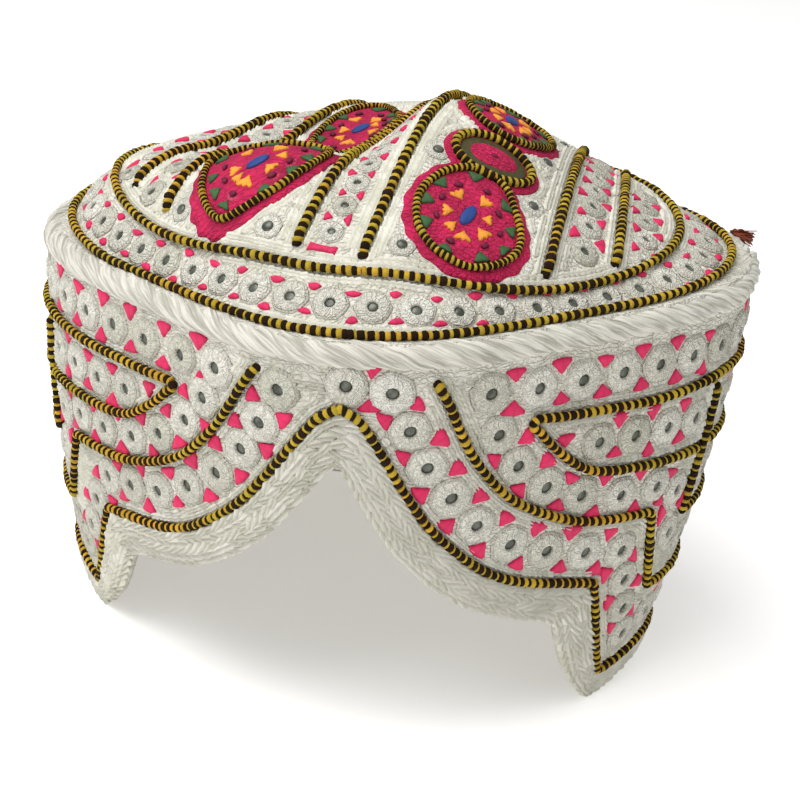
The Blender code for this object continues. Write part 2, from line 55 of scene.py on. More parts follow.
# Cloth shape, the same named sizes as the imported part, in metres
RIM_HALF_WIDTH, RIM_HALF_DEPTH = 0.0940, 0.0855
HEM_HALF_WIDTH, HEM_HALF_DEPTH = 0.0845, 0.0750
HEM_SHIFT_X, RIM_HEIGHT, RIM_TILT = 0.0025, 0.118, 0.10
WALL_BULGE, CENTRE_Y = 0.0035, -0.0017
RIM_BACK_SWELL, RIM_DIAMOND = -0.02, 0.07
HEM_DIAMOND, HEM_SKEW = 0.02, 0.02
ROPE_LOW = 0.1105
BAND_THICKNESS, CROWN_THICKNESS = 0.0024, 0.0022
DOME_EDGE, DOME_HEIGHT, DOME_FULLNESS, DOME_SHOULDER = 0.9555, 0.01854, 6.44, 1.22
DOME_LEAN_X, DOME_LEAN_Y, FOLD_FADE = -0.592, 0.333, 0.20
CROWN_FOLDS = (
    {"name": "peak", "x": 0.0093, "y": -0.0096, "height": 0.0237, "left": 0.0118, "right": 0.0269,
        "along": 0.0328},
    {"name": "hollow", "x": -0.0414, "y": 0.0077, "height": -0.0063, "left": 0.0255, "right": 0.0255,
        "along": 0.0171},
    {"name": "front swell", "x": -0.0277, "y": -0.0379, "height": 0.0132, "left": 0.018, "right": 0.018,
        "along": 0.018},
)
OUTER_RING, OUTER_RING_LONG, OUTER_RING_DIAMOND = 0.951, 0.012, -0.010
INNER_RING, INNER_RING_DIAMOND, INNER_RING_RIGHT, INNER_RING_SKEW = 0.8305, -0.0356, -0.0229, 0.0174
PATTERN_TURN, PATTERN_FAN, PATTERN_CENTRE = 11.2, -190.0, 0.002
STRIP_HALF, PANEL_EDGE, SIDE_STRIP_EDGE = 0.0073, 0.0443, 0.0592

# Lower edge of half of the cap, millimetres along the wall under the rope and up from the floor:
# first the arch cord, then the hem's edge
EDGE_STATIONS = ((0.0, 101.0, 0.0, 84.0, "corner"), (5.0, 98.0, 3.5, 81.0), (10.0, 91.0, 7.5, 74.5),
    (19.0, 77.0, 14.0, 65.0), (27.5, 66.0, 19.5, 58.0), (39.0, 56.0, 32.0, 47.0), (48.0, 50.5, 43.5, 40.5),
    (58.0, 47.0, 55.0, 36.5), (70.0, 44.5, 65.5, 33.5), (81.5, 42.0, 71.5, 30.0, "corner"),
    (87.0, 27.5, 77.0, 19.0), (91.5, 17.0, 83.5, 10.0), (96.0, 8.8, 95.0, 0.0, "corner"),
    (104.0, 9.5, 104.0, 1.0), (115.0, 11.0, 115.0, 2.6), (130.0, 11.5, 130.0, 3.0), (148.0, 10.2, 148.0, 1.0),
    (165.0, 9.5, 165.0, 0.0, "corner"))

# Whipped cords of the band, right half, in the same two measures
SHOULDER_CORD = ((23.5, 107.6), (27.0, 102.0), (30.0, 96.0), (35.0, 87.5), (42.0, 79.0), (49.5, 72.5),
    (60.0, 67.0), (71.0, 63.0), (82.0, 61.2), (92.0, 60.2), (98.5, 59.5, "corner"), (101.0, 52.0),
    (104.0, 44.0), (108.5, 33.5, "corner"), (120.0, 33.0), (140.0, 33.0))
SIDE_CORD = ((118.0, 91.2), (118.5, 82.0), (117.5, 66.0), (117.0, 54.0, "corner"), (130.0, 54.0),
    (150.0, 54.0))
LEAF_UPPER_CORD = ((52.5, 95.0), (62.0, 94.3), (75.0, 94.0), (90.0, 93.6), (105.0, 94.0), (120.0, 94.6),
    (140.0, 94.6))
LEAF_TIP = ((52.0, 92.3), (51.2, 93.2), (51.3, 94.2))
LEAF_LOWER_CORD = ((53.5, 91.6), (56.5, 88.3), (62.0, 83.5), (70.0, 78.2), (79.0, 76.0), (91.0, 75.0),
    (102.0, 74.4), (115.6, 73.8))
BACK_MIDDLE_CORD = ((121.0, 74.0), (140.0, 74.0))

# Width across one rosette of the band, in metres
ROSETTE_WIDTH = 0.0122

# Rosettes of the front, row by row: the centre of each mirror, the left sewn a little apart from the right
FRONT_ROSETTES = {
    "under the arch, right": ((0.8, 107.0), (12.4, 105.6), (17.9, 95.2), (23.5, 84.8), (31.1, 75.6),
        (39.5, 66.7), (50.5, 59.6), (62.5, 55.5), (76.0, 52.4), (90.0, 49.8), (94.9, 39.5), (99.0, 29.0),
        (104.0, 19.0)),
    "under the arch, left": ((-16.7, 103.2), (-21.4, 92.7), (-26.4, 83.5), (-34.3, 73.5), (-44.9, 65.3),
        (-57.0, 58.5), (-69.3, 55.0), (-80.8, 53.0), (-88.7, 41.5), (-95.1, 29.5), (-102.0, 20.0)),
    "under the rope, right": ((38.2, 103.6), (52.2, 103.0), (65.5, 103.0), (78.2, 103.0), (90.3, 103.0),
        (102.6, 103.0), (115.0, 103.0)),
    "under the rope, left": ((-36.5, 103.9), (-49.6, 103.4), (-64.6, 103.0), (-78.6, 103.0), (-91.5, 103.0),
        (-104.0, 103.0), (-116.0, 103.0)),
    "shoulder, right": ((42.0, 92.0), (49.0, 82.4), (58.7, 74.8), (70.6, 70.2), (84.5, 67.6), (98.5, 67.0),
        (109.5, 63.0), (112.5, 49.0)),
    "shoulder, left": ((-40.3, 94.0), (-46.3, 85.2), (-56.8, 77.0), (-68.5, 71.4), (-82.1, 68.8),
        (-95.5, 67.6), (-108.5, 64.0), (-112.5, 50.0)),
    "leaf, right": ((73.5, 84.8), (85.6, 84.4), (97.6, 84.3), (109.8, 84.0)),
    "leaf, left": ((-71.8, 85.2), (-85.0, 84.0), (-97.6, 84.0), (-109.8, 84.0)),
}

# Level rows of the back: height, and the lengths on the right and the left where the front's rows end
BACK_ROWS = ((103.0, 127.5, -128.5), (84.3, 126.0, -126.0), (64.0, 126.0, -126.0), (43.6, 125.0, -125.0),
    (22.0, 117.0, -115.0))
ROSETTE_PITCH = 12.6

# Ring of rosettes on the crown: how many, where the first lies in degrees, and points to measure the ring by
RING_ROSETTES, RING_START, RING_POINTS = 47, 2.8, 1440

# How far a fill's middle lies from its row, and the fills at the tips of the two leaves, in millimetres
FILL_REACH = 5.2
LONE_FILLS = ((63.0, 87.9), (-61.5, 88.1))

# Chain stitch rows: how near two rows may lie, in metres, and the fewest points of a row worth sewing
ROW_ROOM = 0.00165
SHORTEST_ROW = 4

# Points of a medallion's outline and of a disc's
OUTLINE_POINTS, DISC_POINTS = 96, 60

# Medallions in the crown's own measures, millimetres across and along the dividers from the pattern's centre
MEDALLIONS = (
    {"name": "front_right", "heart": (25.0, -50.4), "lean": 12.0, "outline": ((24.8, -35.0), (20.4, -36.8),
        (15.9, -41.8), (13.6, -48.6), (14.3, -54.0), (16.1, -58.3), (19.1, -61.4), (22.9, -63.6),
        (27.7, -63.7), (31.9, -61.2), (35.5, -56.9), (37.2, -52.5), (36.6, -47.6), (34.2, -42.2),
        (30.6, -36.6))},
    {"name": "back_right", "heart": (24.8, -2.6), "lean": 10.0, "outline": ((24.5, -16.4), (29.8, -14.0),
        (34.0, -8.5), (36.2, -2.5), (36.4, 3.0), (33.0, 9.5), (28.0, 12.8), (22.0, 13.0), (16.5, 10.0),
        (13.2, 4.0), (12.7, -2.0), (14.4, -9.0), (18.8, -14.6))},
    {"name": "front_left", "heart": (-24.6, -41.8), "lean": 48.0, "outline": ((-38.9, -31.5), (-38.3, -35.6),
        (-35.9, -42.0), (-33.1, -46.8), (-29.3, -51.5), (-26.0, -54.2), (-23.0, -54.8), (-20.1, -53.9),
        (-17.2, -51.6), (-14.9, -48.0), (-12.9, -42.4), (-12.0, -35.5), (-13.5, -29.8), (-19.5, -28.4),
        (-27.0, -27.6), (-34.5, -27.6))},
    {"name": "back_left", "heart": (-26.8, 26.8), "lean": 35.0, "outline": ((-30.0, 8.5), (-36.2, 16.0),
        (-38.2, 24.0), (-38.6, 34.0), (-36.7, 42.6), (-32.0, 46.6), (-24.6, 42.0), (-18.2, 33.5),
        (-14.0, 24.5), (-14.4, 16.5), (-18.0, 10.5), (-24.0, 7.0))},
)
DISCS = (
    {"name": "disc_right", "heart": (25.6, -28.0), "half_across": 9.6, "half_along": 7.4, "lean": 14.0},
    {"name": "disc_left", "heart": (-24.0, -10.5), "half_across": 9.0, "half_along": 9.0, "lean": 0.0},
)

# Shapes sewn inside a medallion, by thread: bearing in degrees, share of the way from the heart to the
# outline, width and length in millimetres
MOTIFS = {
    "orange": ((20.0, 0.42, 3.0, 3.4), (-38.0, 0.44, 2.6, 3.2), (72.0, 0.36, 2.4, 2.8),
        (-100.0, 0.4, 2.6, 3.0), (128.0, 0.42, 2.8, 3.2), (176.0, 0.46, 3.2, 3.2), (-150.0, 0.42, 2.2, 3.0)),
    "green": ((-8.0, 0.8, 3.6, 2.6), (40.0, 0.82, 3.4, 2.6), (80.0, 0.8, 3.2, 2.8), (116.0, 0.84, 3.2, 2.4),
        (150.0, 0.84, 3.2, 2.4), (-168.0, 0.84, 3.4, 2.2), (-128.0, 0.82, 3.4, 2.6), (-88.0, 0.8, 2.8, 2.8),
        (-50.0, 0.8, 3.2, 2.6)),
    "wine": ((12.0, 0.63, 1.5, 1.0), (52.0, 0.62, 1.5, 1.0), (98.0, 0.62, 1.4, 1.0), (138.0, 0.66, 1.5, 1.0),
        (-170.0, 0.68, 1.5, 1.0), (-120.0, 0.62, 1.5, 1.0), (-72.0, 0.6, 1.4, 1.0), (-30.0, 0.64, 1.5, 1.0)),
}
MOTIF_GROWTH = {"orange": 1.3, "green": 1.2, "wine": 0.8}

# Pink bar at the front end of the middle strip, in metres across and along
BAR_PLACE = (-0.0016, -0.0652)

# Camera of the photograph: azimuth, elevation and roll in degrees, focal length and picture width in pixels,
# sensor width in millimetres, the point that it looks at and its distance from it in metres
CAMERA_ANGLES = (4.99, 24.45, 7.99)
CAMERA_FOCAL, PHOTO_WIDTH, SENSOR_WIDTH = 1795.5, 800, 36.0
CAMERA_AIM, CAMERA_DISTANCE = (0.00683, CENTRE_Y, 0.0649), 0.540

# Lone mirrors on the crown's white panels
PANEL_MIRRORS = ((-39.5, -44.1), (-14.9, -59.7), (14.3, -63.6), (37.8, -35.4), (37.6, -11.5), (13.3, -33.7),
    (-40.0, 2.0), (-12.5, -14.0), (38.5, 24.0), (13.0, 26.0), (25.0, 40.0), (36.0, 44.0), (14.0, 52.0))


def linear(code):
    """Scene-linear colour of an sRGB hex code."""
    parts = [int(code[k:k + 2], 16) / 255 for k in (1, 3, 5)]
    return tuple(c / 12.92 if c <= 0.04045 else ((c + 0.055) / 1.055) ** 2.4 for c in parts) + (1.0,)


def oval(angle, half_width, half_depth):
    return ((np.sin(angle) / half_width) ** 2 + (np.cos(angle) / half_depth) ** 2) ** -0.5


def rim_radius(angle):
    swell = 1 + RIM_BACK_SWELL * np.cos(3 * angle) + RIM_DIAMOND * np.cos(4 * angle)
    return oval(angle, RIM_HALF_WIDTH, RIM_HALF_DEPTH) * swell


def hem_radius(angle):
    swell = 1 + HEM_DIAMOND * np.cos(4 * angle) + HEM_SKEW * np.sin(2 * angle)
    return oval(angle, HEM_HALF_WIDTH, HEM_HALF_DEPTH) * swell


def wall_surface(angle, height):
    """Outer face of the band; angle 0 is the front and grows to the right, height is measured up the wall."""
    share = height / RIM_HEIGHT
    radius = rim_radius(angle) * share + hem_radius(angle) * (1 - share)
    radius = radius + WALL_BULGE * 4 * share * (1 - share)
    x = radius * np.sin(angle) + HEM_SHIFT_X * (1 - share)
    y = CENTRE_Y - radius * np.cos(angle)
    return np.stack([x, y, height + share * RIM_TILT * x], axis=-1)


ARC_ANGLES = np.linspace(0.0, math.pi, 1441)
ARC_STEPS = np.linalg.norm(np.diff(wall_surface(ARC_ANGLES, ROPE_LOW + 0 * ARC_ANGLES), axis=0), axis=1)
ARC_LENGTHS = np.concatenate([[0.0], np.cumsum(ARC_STEPS)])
HALF_ROUND = float(ARC_LENGTHS[-1])


def angle_at(length):
    """Angle at a length along the rope's lower edge, which may run on past the back centre."""
    turned = (length + HALF_ROUND) % (2 * HALF_ROUND) - HALF_ROUND
    return np.sign(turned) * np.interp(np.abs(turned), ARC_LENGTHS, ARC_ANGLES)


def unit(vectors):
    return vectors / np.maximum(np.linalg.norm(vectors, axis=-1, keepdims=True), 1e-12)


def on_band(u, v, out=0.0):
    """Points of the band's outer face, raised by out, and the directions that point out of it."""
    angle = angle_at(np.asarray(u, float))
    v = np.asarray(v, float)
    round_way = wall_surface(angle + 0.002, v) - wall_surface(angle - 0.002, v)
    up_way = wall_surface(angle, v + 0.0003) - wall_surface(angle, v - 0.0003)
    normal = unit(np.cross(round_way, up_way))
    return wall_surface(angle, v) + np.asarray(out)[..., None] * normal, normal


def crown_share(x, y):
    depth = y - CENTRE_Y
    return np.hypot(x, depth) / rim_radius(np.arctan2(x, -depth))


def crown_height(x, y):
    depth = y - CENTRE_Y
    share = crown_share(x, y)
    inside = np.maximum(0.0, 1 - (share / DOME_EDGE) ** DOME_FULLNESS)
    lean = 1 + DOME_LEAN_X * x / 0.1 + DOME_LEAN_Y * depth / 0.09
    height = DOME_HEIGHT * lean * inside ** DOME_SHOULDER
    fade = np.clip((DOME_EDGE - share) / FOLD_FADE, 0.0, 1.0)
    fade = fade * fade * (3 - 2 * fade)
    for fold in CROWN_FOLDS:
        reach = np.where(x < fold["x"], fold["left"], fold["right"])
        across, along = (x - fold["x"]) / reach, (depth - fold["y"]) / fold["along"]
        height = height + fade * fold["height"] * np.exp(-0.5 * (across * across + along * along))
    return RIM_HEIGHT + RIM_TILT * x + height


def on_crown(x, y, out=0.0):
    """Points of the crown's upper face, raised by out, and the directions that point out of it."""
    x, y = np.asarray(x, float), np.asarray(y, float)
    step = 0.0005
    slope_x = (crown_height(x + step, y) - crown_height(x - step, y)) / (2 * step)
    slope_y = (crown_height(x, y + step) - crown_height(x, y - step)) / (2 * step)
    normal = unit(np.stack([-slope_x, -slope_y, np.ones_like(slope_x)], axis=-1))
    return np.stack([x, y, crown_height(x, y)], axis=-1) + np.asarray(out)[..., None] * normal, normal


def pattern_plan(across, along):
    """Plan position of a point of the crown's pattern, in metres."""
    turn = np.radians(PATTERN_TURN + PATTERN_FAN * across)
    return across / np.cos(turn) + along * np.tan(turn), along + CENTRE_Y


def on_pattern(across, along, out=0.0):
    return on_crown(*pattern_plan(PATTERN_CENTRE + np.asarray(across, float), np.asarray(along, float)), out)


def inner_ring_share(angle):
    share = INNER_RING + INNER_RING_DIAMOND * np.cos(4 * angle)
    return share + INNER_RING_RIGHT * np.sin(angle) + INNER_RING_SKEW * np.sin(2 * angle)


def ring_plan(share_at, count):
    angle = 2 * math.pi * np.arange(count) / count
    radius = rim_radius(angle) * share_at(angle)
    return radius * np.sin(angle), CENTRE_Y - radius * np.cos(angle)


def smooth_part(knots, k, count):
    """Points from knot k up to, but without, the next one, on a smooth curve that stays sharp at corners."""
    start, end = np.array(knots[k][:2]), np.array(knots[k + 1][:2])
    before = np.array(knots[k - 1][:2]) if k > 0 and len(knots[k]) == 2 else start
    more = k + 2 < len(knots) and len(knots[k + 1]) == 2
    after = np.array(knots[k + 2][:2]) if more else end
    t = (np.arange(count) / count)[:, None]
    near = start * (2 * t ** 3 - 3 * t ** 2 + 1) + (end - before) / 2 * (t ** 3 - 2 * t ** 2 + t)
    return near + end * (3 * t ** 2 - 2 * t ** 3) + (after - start) / 2 * (t ** 3 - t ** 2)


def smooth_route(knots, step):
    parts = []
    for k in range(len(knots) - 1):
        reach = math.dist(knots[k][:2], knots[k + 1][:2])
        parts.append(smooth_part(knots, k, max(1, round(reach / step))))
    return np.concatenate(parts + [np.array([knots[-1][:2]])])


def smooth_loop(knots, count):
    """Evenly spaced points on a smooth closed curve through the knots."""
    table = list(knots[-2:]) + list(knots) + list(knots[:3])
    parts = [smooth_part(table, k, 24) for k in range(2, 2 + len(knots))]
    line = np.concatenate(parts)
    steps = np.linalg.norm(np.roll(line, -1, 0) - line, axis=1)
    at = np.concatenate([[0.0], np.cumsum(steps)])
    wanted = np.arange(count) / count * at[-1]
    return np.stack([np.interp(wanted, at, np.append(line[:, k], line[0, k])) for k in (0, 1)], axis=-1)


def round_the_back(knots, step=1.0):
    """Right half of a band cord, round the back, then its mirror image on the left, in millimetres."""
    right = smooth_route(knots, step)
    reach = right[-1]
    span = 2 * (HALF_ROUND / MM - reach[0])
    count = round(span / (2 * step))
    back = np.stack([reach[0] + span * np.arange(1, count) / count, np.full(count - 1, reach[1])], axis=-1)
    left = right[::-1] * [-1, 1] + [2 * HALF_ROUND / MM, 0]
    return np.concatenate([right, back, left])


def edge_rows(step):
    """Matching points of the arch cord and the hem's edge all round the cap, in millimetres."""
    tables = [[row[k:k + 2] + row[4:] for row in EDGE_STATIONS] for k in (0, 2)]
    halves = [[], []]
    for k in range(len(EDGE_STATIONS) - 1):
        count = max(1, round(math.dist(tables[0][k][:2], tables[0][k + 1][:2]) / step))
        for half, table in zip(halves, tables):
            half.append(smooth_part(table, k, count))
    rows = []
    for half, table in zip(halves, tables):
        right = np.concatenate(half)
        last = np.array(table[-1][:2])
        span = 2 * (HALF_ROUND / MM - last[0])
        count = round(2 * (HALF_ROUND / MM - EDGE_STATIONS[-1][0]) / step)
        back = np.stack([last[0] + span * np.arange(count + 1) / count, np.full(count + 1, last[1])], axis=-1)
        left = right[:0:-1] * [-1, 1] + [2 * HALF_ROUND / MM, 0]
        rows.append(np.concatenate([right, back, left]))
    return rows


def way_along(line, closed):
    """Direction of a line at each of its points."""
    return unit(np.roll(line, -1, 0) - np.roll(line, 1, 0) if closed else np.gradient(line, axis=0))


def beside(route, distance, closed=False):
    """The route moved sideways, to its left for a positive distance, without points too near the route."""
    way = way_along(route, closed)
    moved = route + distance * np.stack([-way[:, 1], way[:, 0]], axis=-1)
    gaps = np.linalg.norm(moved[:, None, :] - route[None, :, :], axis=2).min(axis=1)
    return moved[gaps > 0.93 * abs(distance)]


def clear_parts(trail, hurdles):
    """Stretches of a trail that keep clear of every hurdle, a tree of points and the room they need."""
    spots = trail["spots"]
    free = np.array([all(tree.find(spot)[2] > room for tree, room in hurdles) for spot in spots])
    if free.all():
        return [trail]
    if trail["closed"]:
        first = int(np.argmin(free))
        spots, ups, free = (np.roll(a, -first, 0) for a in (spots, trail["ups"], free))
    else:
        ups = trail["ups"]
    ends = np.flatnonzero(np.diff(np.concatenate([[0], free.astype(int), [0]])))
    return [{"spots": spots[a:b], "ups": ups[a:b], "closed": False} for a,
        b in zip(ends[::2], ends[1::2]) if b - a >= SHORTEST_ROW]


def point_tree(points):
    """Search tree of points, to ask how near the nearest one is."""
    tree = KDTree(len(points))
    for k, point in enumerate(points):
        tree.insert(point, k)
    tree.balance()
    return tree


def packed_rows(candidates, hurdles, room):
    """Keeps of each candidate row, in turn, what stays clear of the hurdles and of the rows before it."""
    kept = []
    for trail in candidates:
        others = list(hurdles)
        if kept:
            others.append((point_tree(np.concatenate([row["spots"] for row in kept])), room))
        kept += clear_parts(trail, others)
    return kept


def band_trail(route, out, closed=False):
    spots, ups = on_band(route[:, 0] * MM, route[:, 1] * MM, out * MM)
    return {"spots": spots, "ups": ups, "closed": closed}


def crown_trail(x, y, out, closed=False):
    spots, ups = on_crown(x, y, out * MM)
    return {"spots": spots, "ups": ups, "closed": closed}


def pattern_trail(route, out, closed=False):
    spots, ups = on_pattern(route[:, 0] * MM, route[:, 1] * MM, out * MM)
    return {"spots": spots, "ups": ups, "closed": closed}


def ring_room(x, y):
    """How far points lie inside the crown's inner ring, in metres."""
    depth = y - CENTRE_Y
    angle = np.arctan2(x, -depth)
    return inner_ring_share(angle) * rim_radius(angle) - np.hypot(x, depth)


def divider_route(offset):
    """Pattern measures of one divider, cut off inside the inner ring, in millimetres."""
    along = np.arange(-90.0, 90.0, 1.0) * MM
    across = np.full_like(along, offset)
    x, y = pattern_plan(PATTERN_CENTRE + across, along)
    kept = ring_room(x, y) > 0.0035
    return np.stack([across[kept], along[kept]], axis=-1) / MM


def add(tree, kind, *inputs, take=None, **more):
    """Adds a node; inputs fill its live sockets in order, and more names settings and further sockets.

    It gives back the first live output, or the one that take names.
    """
    kinds = ("ShaderNode",) if tree.type == "SHADER" else ("GeometryNode", "FunctionNode", "ShaderNode")
    prefix = next(start for start in kinds if hasattr(bpy.types, start + kind))
    made = tree.nodes.new(prefix + kind)
    for key in [key for key in more if hasattr(made, key)]:
        setattr(made, key, more.pop(key))
    live = [socket for socket in made.inputs if socket.enabled]
    fills = list(zip(live, inputs))
    fills += [(next(s for s in live if key in (s.identifier, s.name)), value) for key, value in more.items()]
    for socket, value in fills:
        if isinstance(value, bpy.types.NodeSocket):
            tree.links.new(value, socket)
        else:
            socket.default_value = value
    return made.outputs[take] if take else next(s for s in made.outputs if s.enabled)


def new_tree(name, inputs):
    """Geometry Nodes tree with a geometry input and output and the named inputs: name, kind, default."""
    tree = bpy.data.node_groups.new(name, "GeometryNodeTree")
    tree.interface.new_socket("Geometry", in_out="INPUT", socket_type="NodeSocketGeometry")
    for label, kind, value in inputs:
        socket = tree.interface.new_socket(label, in_out="INPUT", socket_type="NodeSocket" + kind)
        if value is not None:
            socket.default_value = value
    tree.interface.new_socket("Geometry", in_out="OUTPUT", socket_type="NodeSocketGeometry")
    return tree, tree.nodes.new("NodeGroupInput").outputs, tree.nodes.new("NodeGroupOutput").inputs


def end_tree(tree, given, taken, shapes):
    """Realizes the instances and sets the thread as their material."""
    real = add(tree, "RealizeInstances", Geometry=shapes)
    tree.links.new(add(tree, "SetMaterial", Geometry=real, Material=given["Thread"]), taken[0])
    return tree


def finish_tree(tree, given, taken, instances):
    """Gives each instance a random shade before the tree ends."""
    chance = add(tree, "RandomValue", Min_001=0.0, Max_001=1.0, Seed=given["Seed"], data_type="FLOAT")
    shaded = add(tree, "StoreNamedAttribute", Geometry=instances, Name="shade", Value=chance,
        data_type="FLOAT", domain="INSTANCE")
    return end_tree(tree, given, taken, shaded)


def trail_points(tree, given, spacing):
    """Turns cord lines into evenly spaced points with their tangents and outward directions."""
    curve = add(tree, "MeshToCurve", Mesh=given["Geometry"])
    even = add(tree, "ResampleCurve", Curve=curve, Length=spacing, mode="LENGTH")
    tangent = add(tree, "InputTangent")
    up = add(tree, "InputNamedAttribute", Name="up", data_type="FLOAT_VECTOR")
    return even, tangent, up


def lay(tree, given, shape, points, facing, axis, angle, size):
    """Lays the given shape at every point, faced one way and then turned about its own axis."""
    thing = add(tree, "ObjectInfo", Object=given[shape], take="Geometry")
    twist = add(tree, "AxisAngleToRotation", axis, angle)
    turned = add(tree, "RotateRotation", facing, twist, rotation_space="LOCAL")
    return add(tree, "InstanceOnPoints", Points=points, Instance=thing, Rotation=turned, Scale=size)


def whipping_tree():
    """Thread wound round a cord: dark and yellow bands by turns, of uneven width, a little slanted."""
    tree, given, taken = new_tree("whipped_turns", (("Turn", "Object", None),
        ("Spacing", "Float", 0.00125), ("Radius", "Float", 0.00135),
        ("Dark Share", "Float", 0.6), ("Slant", "Float", 0.16),
        ("Seed", "Int", 1), ("Thread", "Material", None)))
    points, tangent, up = trail_points(tree, given, given["Spacing"])
    number = add(tree, "InputIndex")
    yellow = add(tree, "Math", number, 2.0, operation="MODULO")
    drift = add(tree, "TexNoise", Scale=150.0, Detail=2.0)
    swing = add(tree, "Math", drift, 1.8, -0.9, operation="MULTIPLY_ADD")
    dark = add(tree, "Math", given["Dark Share"], swing, operation="ADD")
    dark = add(tree, "Clamp", dark, 0.36, 0.78)
    light = add(tree, "Math", 1.0, dark, operation="SUBTRACT")
    share = add(tree, "Switch", yellow, dark, light, input_type="FLOAT")
    width = add(tree, "Math", share, given["Spacing"], operation="MULTIPLY")
    length = add(tree, "Math", width, 2.25, operation="MULTIPLY")
    uneven = add(tree, "RandomValue", Min_001=0.86, Max_001=1.1, Seed=given["Seed"], data_type="FLOAT")
    thick = add(tree, "Math", uneven, given["Radius"], operation="MULTIPLY")
    size = add(tree, "CombineXYZ", X=thick, Y=thick, Z=length)
    lean = add(tree, "RandomValue", Min_001=-0.15, Max_001=0.15, Seed=given["Seed"], data_type="FLOAT")
    lean = add(tree, "Math", lean, given["Slant"], operation="ADD")
    facing = add(tree, "AxesToRotation", tangent, up, primary_axis="Z", secondary_axis="X")
    laid = lay(tree, given, "Turn", points, facing, (1.0, 0.0, 0.0), lean, size)
    # the same number that chose a band's width chooses its colour
    coloured = add(tree, "StoreNamedAttribute", Geometry=laid, Name="yellow", Value=yellow, data_type="FLOAT",
        domain="INSTANCE")
    return finish_tree(tree, given, taken, coloured)


def stitch_tree():
    """Chain stitch: overlapping loops laid end to end along lines."""
    tree, given, taken = new_tree("chain_stitch_rows", (("Stitch", "Object", None),
        ("Pitch", "Float", 0.0017), ("Length", "Float", 0.0024),
        ("Width", "Float", 0.0013), ("Height", "Float", 0.0007),
        ("Lean", "Float", 0.0), ("Stray", "Float", 0.22), ("Seed", "Int", 1),
        ("Thread", "Material", None)))
    points, tangent, up = trail_points(tree, given, given["Pitch"])
    uneven = add(tree, "RandomValue", Min_001=0.82, Max_001=1.14, Seed=given["Seed"], data_type="FLOAT")
    size = add(tree, "CombineXYZ", X=given["Length"], Y=given["Width"], Z=given["Height"])
    size = add(tree, "VectorMath", size, uneven, operation="SCALE")
    facing = add(tree, "AxesToRotation", up, tangent, primary_axis="Z", secondary_axis="X")
    stray = add(tree, "RandomValue", Min_001=-1.0, Max_001=1.0, Seed=given["Seed"], data_type="FLOAT")
    stray = add(tree, "Math", stray, given["Stray"], given["Lean"], operation="MULTIPLY_ADD")
    laid = lay(tree, given, "Stitch", points, facing, (0.0, 0.0, 1.0), stray, size)
    return finish_tree(tree, given, taken, laid)


def scatter_tree():
    """Sews one shape at each point, turned and sized by the point's own attributes."""
    tree, given, taken = new_tree("sewn_shapes", (("Shape", "Object", None),
        ("Uneven Size", "Float", 0.05), ("Uneven Turn", "Float", 0.1),
        ("Seed", "Int", 1), ("Thread", "Material", None)))
    points = add(tree, "MeshToPoints", Mesh=given["Geometry"])
    read = {name: add(tree, "InputNamedAttribute", Name=name, data_type="FLOAT_VECTOR") for name in ("up",
        "along", "size")}
    chance = add(tree, "RandomValue", Min=(-1.0, -1.0, -0.3), Max=(1.0, 1.0, 0.3), Seed=given["Seed"],
        data_type="FLOAT_VECTOR")
    spread = add(tree, "VectorMath", chance, given["Uneven Size"], operation="SCALE")
    factor = add(tree, "VectorMath", spread, (1.0, 1.0, 1.0), operation="ADD")
    size = add(tree, "VectorMath", read["size"], factor, operation="MULTIPLY")
    facing = add(tree, "AxesToRotation", read["up"], read["along"], primary_axis="Z", secondary_axis="X")
    stray = add(tree, "RandomValue", Min_001=-1.0, Max_001=1.0, Seed=given["Seed"], data_type="FLOAT")
    stray = add(tree, "Math", stray, given["Uneven Turn"], operation="MULTIPLY")
    laid = lay(tree, given, "Shape", points, facing, (0.0, 0.0, 1.0), stray, size)
    return finish_tree(tree, given, taken, laid)


def rope_tree():
    """Rope laid in strands: a lobed, unevenly dented section turns a whole number of times round the rim."""
    tree, given, taken = new_tree("laid_rope", (("Section", "Object", None),
        ("Step", "Float", 0.0012), ("Turns", "Int", 20),
        ("Dents", "Float", 0.001), ("Thread", "Material", None)))
    curve = add(tree, "MeshToCurve", Mesh=given["Geometry"])
    even = add(tree, "ResampleCurve", Curve=curve, Length=given["Step"], mode="LENGTH")
    way = add(tree, "SplineParameter", take="Factor")
    # a point on a circle, so that the yarns meet where the rope closes
    bearing = add(tree, "Math", way, 2 * math.pi, operation="MULTIPLY")
    sine, cosine = (add(tree, "Math", bearing, operation=kind) for kind in ("SINE", "COSINE"))
    circle = add(tree, "CombineXYZ", X=sine, Y=cosine)
    kept = add(tree, "StoreNamedAttribute", Geometry=even, Name="circle", Value=circle,
        data_type="FLOAT_VECTOR", domain="POINT")
    turn = add(tree, "Math", bearing, given["Turns"], operation="MULTIPLY")
    tilted = add(tree, "SetCurveTilt", Curve=kept, Tilt=turn)
    section = add(tree, "ObjectInfo", Object=given["Section"], take="Geometry")
    profile = add(tree, "MeshToCurve", Mesh=section)
    place = add(tree, "InputPosition")
    profile = add(tree, "StoreNamedAttribute", Geometry=profile, Name="strand", Value=place,
        data_type="FLOAT_VECTOR", domain="POINT")
    tube = add(tree, "CurveToMesh", tilted, profile)
    dent = add(tree, "TexNoise", Vector=place, Scale=170.0, Detail=2.0, take="Color")
    dent = add(tree, "VectorMath", dent, (0.5, 0.5, 0.5), operation="SUBTRACT")
    dent = add(tree, "VectorMath", dent, given["Dents"], operation="SCALE")
    dented = add(tree, "SetPosition", Geometry=tube, Offset=dent)
    smooth = add(tree, "SetShadeSmooth", Geometry=dented)
    return end_tree(tree, given, taken, smooth)


def tree_named(name, maker):
    return bpy.data.node_groups.get(name) or maker()


